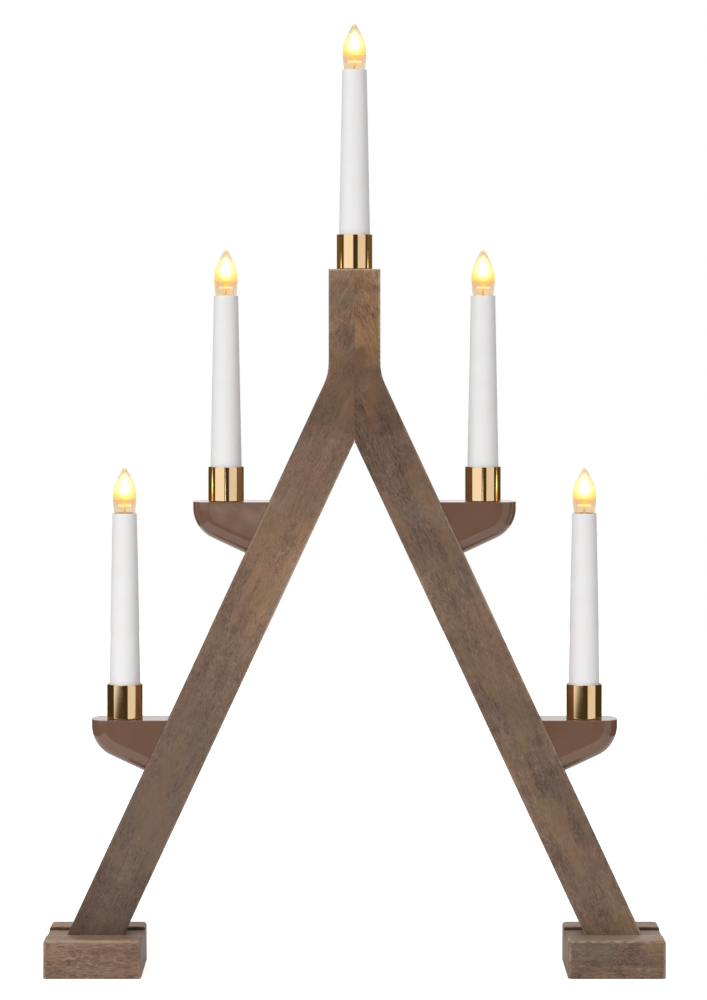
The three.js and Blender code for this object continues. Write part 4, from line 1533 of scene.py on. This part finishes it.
@dataclass
class Studio:
    """Pale floor, soft lamps, plain surround and the camera, in metres and degrees.

    In the surround, bearings are degrees to the right of the front, and heights are the sine of the
    elevation.
    """

    lamps: tuple[Lamp, ...] = (
        Lamp("key_lamp", (-1.6, -2.1, 1.8), 1.4, 46.0),
        Lamp("fill_lamp", (1.9, -2.0, 1.2), 1.6, 10.5),
        Lamp("top_lamp", (0.1, 0.1, 2.6), 1.4, 20.0),
        Lamp("back_lamp", (0.35, 2.4, 1.5), 1.6, 23.0),
    )
    lamps_aim: Offset = (0.0, 0.0, 0.3)
    ambient: float = 0.38
    left_window: Window = Window(-76, -12)
    right_window: Window = Window(18, 71, 0.8)
    sill: Span = (-0.118, -0.098)
    sill_tilt: float = 0.0004
    sill_bearing: float = -56.0
    window_behind: Span = (154, 164)
    window_above: Span = (0.7, 0.9)
    dark_flag: Colour = (0.055, 0.043, 0.02)
    amber_flag: Colour = (0.14, 0.1, 0.042)
    amber_beside: Span = (80, 92)
    amber_from: Span = (-0.09, 0.01)
    card_light: float = 2.4
    card_bearing: float = -2.0
    card_within: Span = (1.1, 1.5)
    card_height: float = -0.061
    card_half_height: Span = (0.009, 0.014)
    floor_glow: float = 0.55
    floor_in_mirrors: float = 0.4
    floor_half_width: float = 0.5
    floor_front: float = -0.6
    floor_back: float = 2.5
    camera_place: Offset = (-0.00067, -2.514, 0.4506)
    pitch: float = 1.657
    focal_px: float = 3802.0
    frame_px: float = 1000.0
    axis_up_px: float = 100.0

    def build(self) -> None:
        """Sets up the floor, the surround, the lamps and the camera."""
        self.floor()
        self.surround()
        for lamp in self.lamps:
            self.hang(lamp)
        self.camera()
        bpy.context.scene.view_settings.view_transform = "Standard"
        log.info("studio set up")

    @staticmethod
    def ray(graph: ShaderGraph, kind: str) -> Signal:
        """Gives 1 for a ray of the named kind."""
        return graph.node("ShaderNodeLightPath", output=f"Is {kind} Ray")

    def seen(self, graph: ShaderGraph) -> Signal:
        """Gives 1 for a ray that sees the surface, straight or through glass."""
        return graph.math("MAXIMUM", self.ray(graph, "Camera"), self.ray(graph, "Transmission"))

    def floor(self) -> None:
        """Lays a pale floor that keeps the object's shadow."""
        corners = [(-self.floor_half_width, self.floor_front), (self.floor_half_width, self.floor_front),
                   (self.floor_half_width, self.floor_back), (-self.floor_half_width, self.floor_back)]
        shape = bmesh.new()
        shape.faces.new([shape.verts.new((x, y, 0)) for x, y in corners])
        piece = finished("studio_floor", shape)
        made = bpy.data.materials.new("pale_floor")
        made.use_nodes = True
        graph = ShaderGraph(made.node_tree)
        mirrored = self.ray(graph, "Glossy") * self.floor_in_mirrors
        glow = graph.math("MAXIMUM", self.seen(graph), mirrored)
        speck = graph.noise(graph.cells(graph.place(), 40, 40, 40), 2.0)
        shader = graph.node("ShaderNodeBsdfPrincipled", None, {
            "Base Color": graph.mix(speck, (0.91, 0.91, 0.91), (0.93, 0.93, 0.93)),
            "Roughness": 0.9,
            "Emission Color": graph.mix(glow, (0.0, 0.0, 0.0), (1.0, 1.0, 1.0)),
            "Emission Strength": self.floor_glow})
        graph.node("ShaderNodeOutputMaterial", None, {"Surface": shader}, None)
        piece.data.materials.append(made)

    def surround(self) -> None:
        """Makes a white surround, with dark flags that only polished surfaces show."""
        world = bpy.data.worlds.new("studio_surround")
        bpy.context.scene.world = world
        world.use_nodes = True
        graph = ShaderGraph(world.node_tree)
        x, y, z = graph.parts(graph.node("ShaderNodeTexCoord", output="Generated"))
        bearing = graph.math("ARCTAN2", x, 0.0 - y) * (180 / math.pi)
        over_sill = z - (bearing - self.sill_bearing) * self.sill_tilt
        left = self.left_window.opening(graph, bearing) * graph.rise(over_sill, *self.sill)
        right = self.right_window.opening(graph, bearing)
        behind = graph.rise(abs(bearing), *self.window_behind)
        above = graph.rise(z, *self.window_above)
        bright = graph.math("MAXIMUM", graph.math("MAXIMUM", left, right),
                            graph.math("MAXIMUM", behind, above))
        amber = graph.rise(abs(bearing), *self.amber_beside) * graph.rise(z, *self.amber_from)
        card = 1 - graph.rise(abs(bearing - self.card_bearing), *self.card_within)
        card = card * (1 - graph.rise(abs(z - self.card_height), *self.card_half_height))
        flags = graph.mix(amber, self.dark_flag, self.amber_flag)
        mirrored = graph.mix(bright, flags, (1.0, 1.0, 1.0))
        mirrored = graph.mix(card, mirrored, (self.card_light,) * 3)
        plain = (self.ambient,) * 3
        colour = graph.mix(self.ray(graph, "Glossy"), plain, mirrored)
        colour = graph.mix(self.seen(graph), colour, (1.0, 1.0, 1.0))
        shader = graph.node("ShaderNodeBackground", None, {"Color": colour, "Strength": 1.0})
        graph.node("ShaderNodeOutputWorld", None, {"Surface": shader}, None)

    def hang(self, lamp: Lamp) -> None:
        """Hangs a lamp that looks at the object and stays out of its reflections.

        Args:
            lamp: The lamp.
        """
        light = bpy.data.lights.new(lamp.name, "AREA")
        light.size = lamp.side
        light.energy = lamp.watts
        made = bpy.data.objects.new(lamp.name, light)
        bpy.context.scene.collection.objects.link(made)
        made.location = lamp.place
        way = Vector(self.lamps_aim) - Vector(lamp.place)
        made.rotation_euler = way.to_track_quat("-Z", "Y").to_euler()
        made.visible_glossy = False
        made.visible_transmission = False

    def camera(self) -> None:
        """Sets up the camera where the picture was taken from."""
        data = bpy.data.cameras.new("camera")
        data.sensor_fit = "AUTO"
        data.sensor_width = 36.0
        data.lens = self.focal_px / self.frame_px * data.sensor_width
        data.shift_y = -self.axis_up_px / self.frame_px
        made = bpy.data.objects.new("camera", data)
        bpy.context.scene.collection.objects.link(made)
        made.location = self.camera_place
        made.rotation_euler = (math.radians(90 - self.pitch), 0, 0)
        bpy.context.scene.camera = made


def candle_finishes() -> dict[str, bpy.types.Material]:
    """Makes the finishes of the candles, the cups and the shelves.

    Returns:
        The materials by the record's slots.
    """
    finishes: dict[str, Finish] = {
        "shelf_plastic": MouldedPlastic(
            "shelf_plastic", tone(117, 88, 73), tone(111, 83, 69), gloss=0.07, smudges=0.05,
            ripple=0.006, flow=24.0, bend=1.56, shine=(1.0, 0.84, 0.74)),
        "sleeve_plastic": MouldedPlastic(
            "sleeve_plastic", tone(244, 243, 243), tone(241, 239, 238), gloss=0.4, smudges=0.12,
            ripple=0.02, flow=16.0),
        "holder_plastic": MouldedPlastic(
            "holder_plastic", tone(216, 210, 196), tone(200, 192, 176), gloss=0.55, smudges=0.1,
            ripple=0.03, flow=10.0),
        "polished_brass": TurnedMetal(
            "polished_brass", (0.95, 0.68, 0.4), (0.86, 0.56, 0.27), gloss=0.03, lines=0.03, wear=0.3),
        "contact_brass": TurnedMetal(
            "contact_brass", (0.8, 0.6, 0.3), (0.55, 0.38, 0.18), gloss=0.28, lines=0.1, wear=0.6),
        "cap_nickel": TurnedMetal(
            "cap_nickel", (0.78, 0.76, 0.72), (0.58, 0.55, 0.5), gloss=0.2, lines=0.08, wear=0.5),
        "bulb_glass": BulbGlass("bulb_glass"),
        "warm_light": WarmLight("warm_light"),
    }
    return {slot: finish.material() for slot, finish in finishes.items()}


def main() -> None:
    """Builds the dressed candlestick and its studio."""
    logging.basicConfig(level=logging.INFO, format="%(message)s")
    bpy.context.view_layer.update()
    finishes = candle_finishes()
    WoodenFrame().build()
    for place in Place:
        if place is not Place.TOP:
            SideShelf(place).build(finishes["shelf_plastic"])
        BrassCup(place).build(finishes["polished_brass"])
        Candle(place).build(finishes)
    Studio().build()


if __name__ == "__main__":
    main()
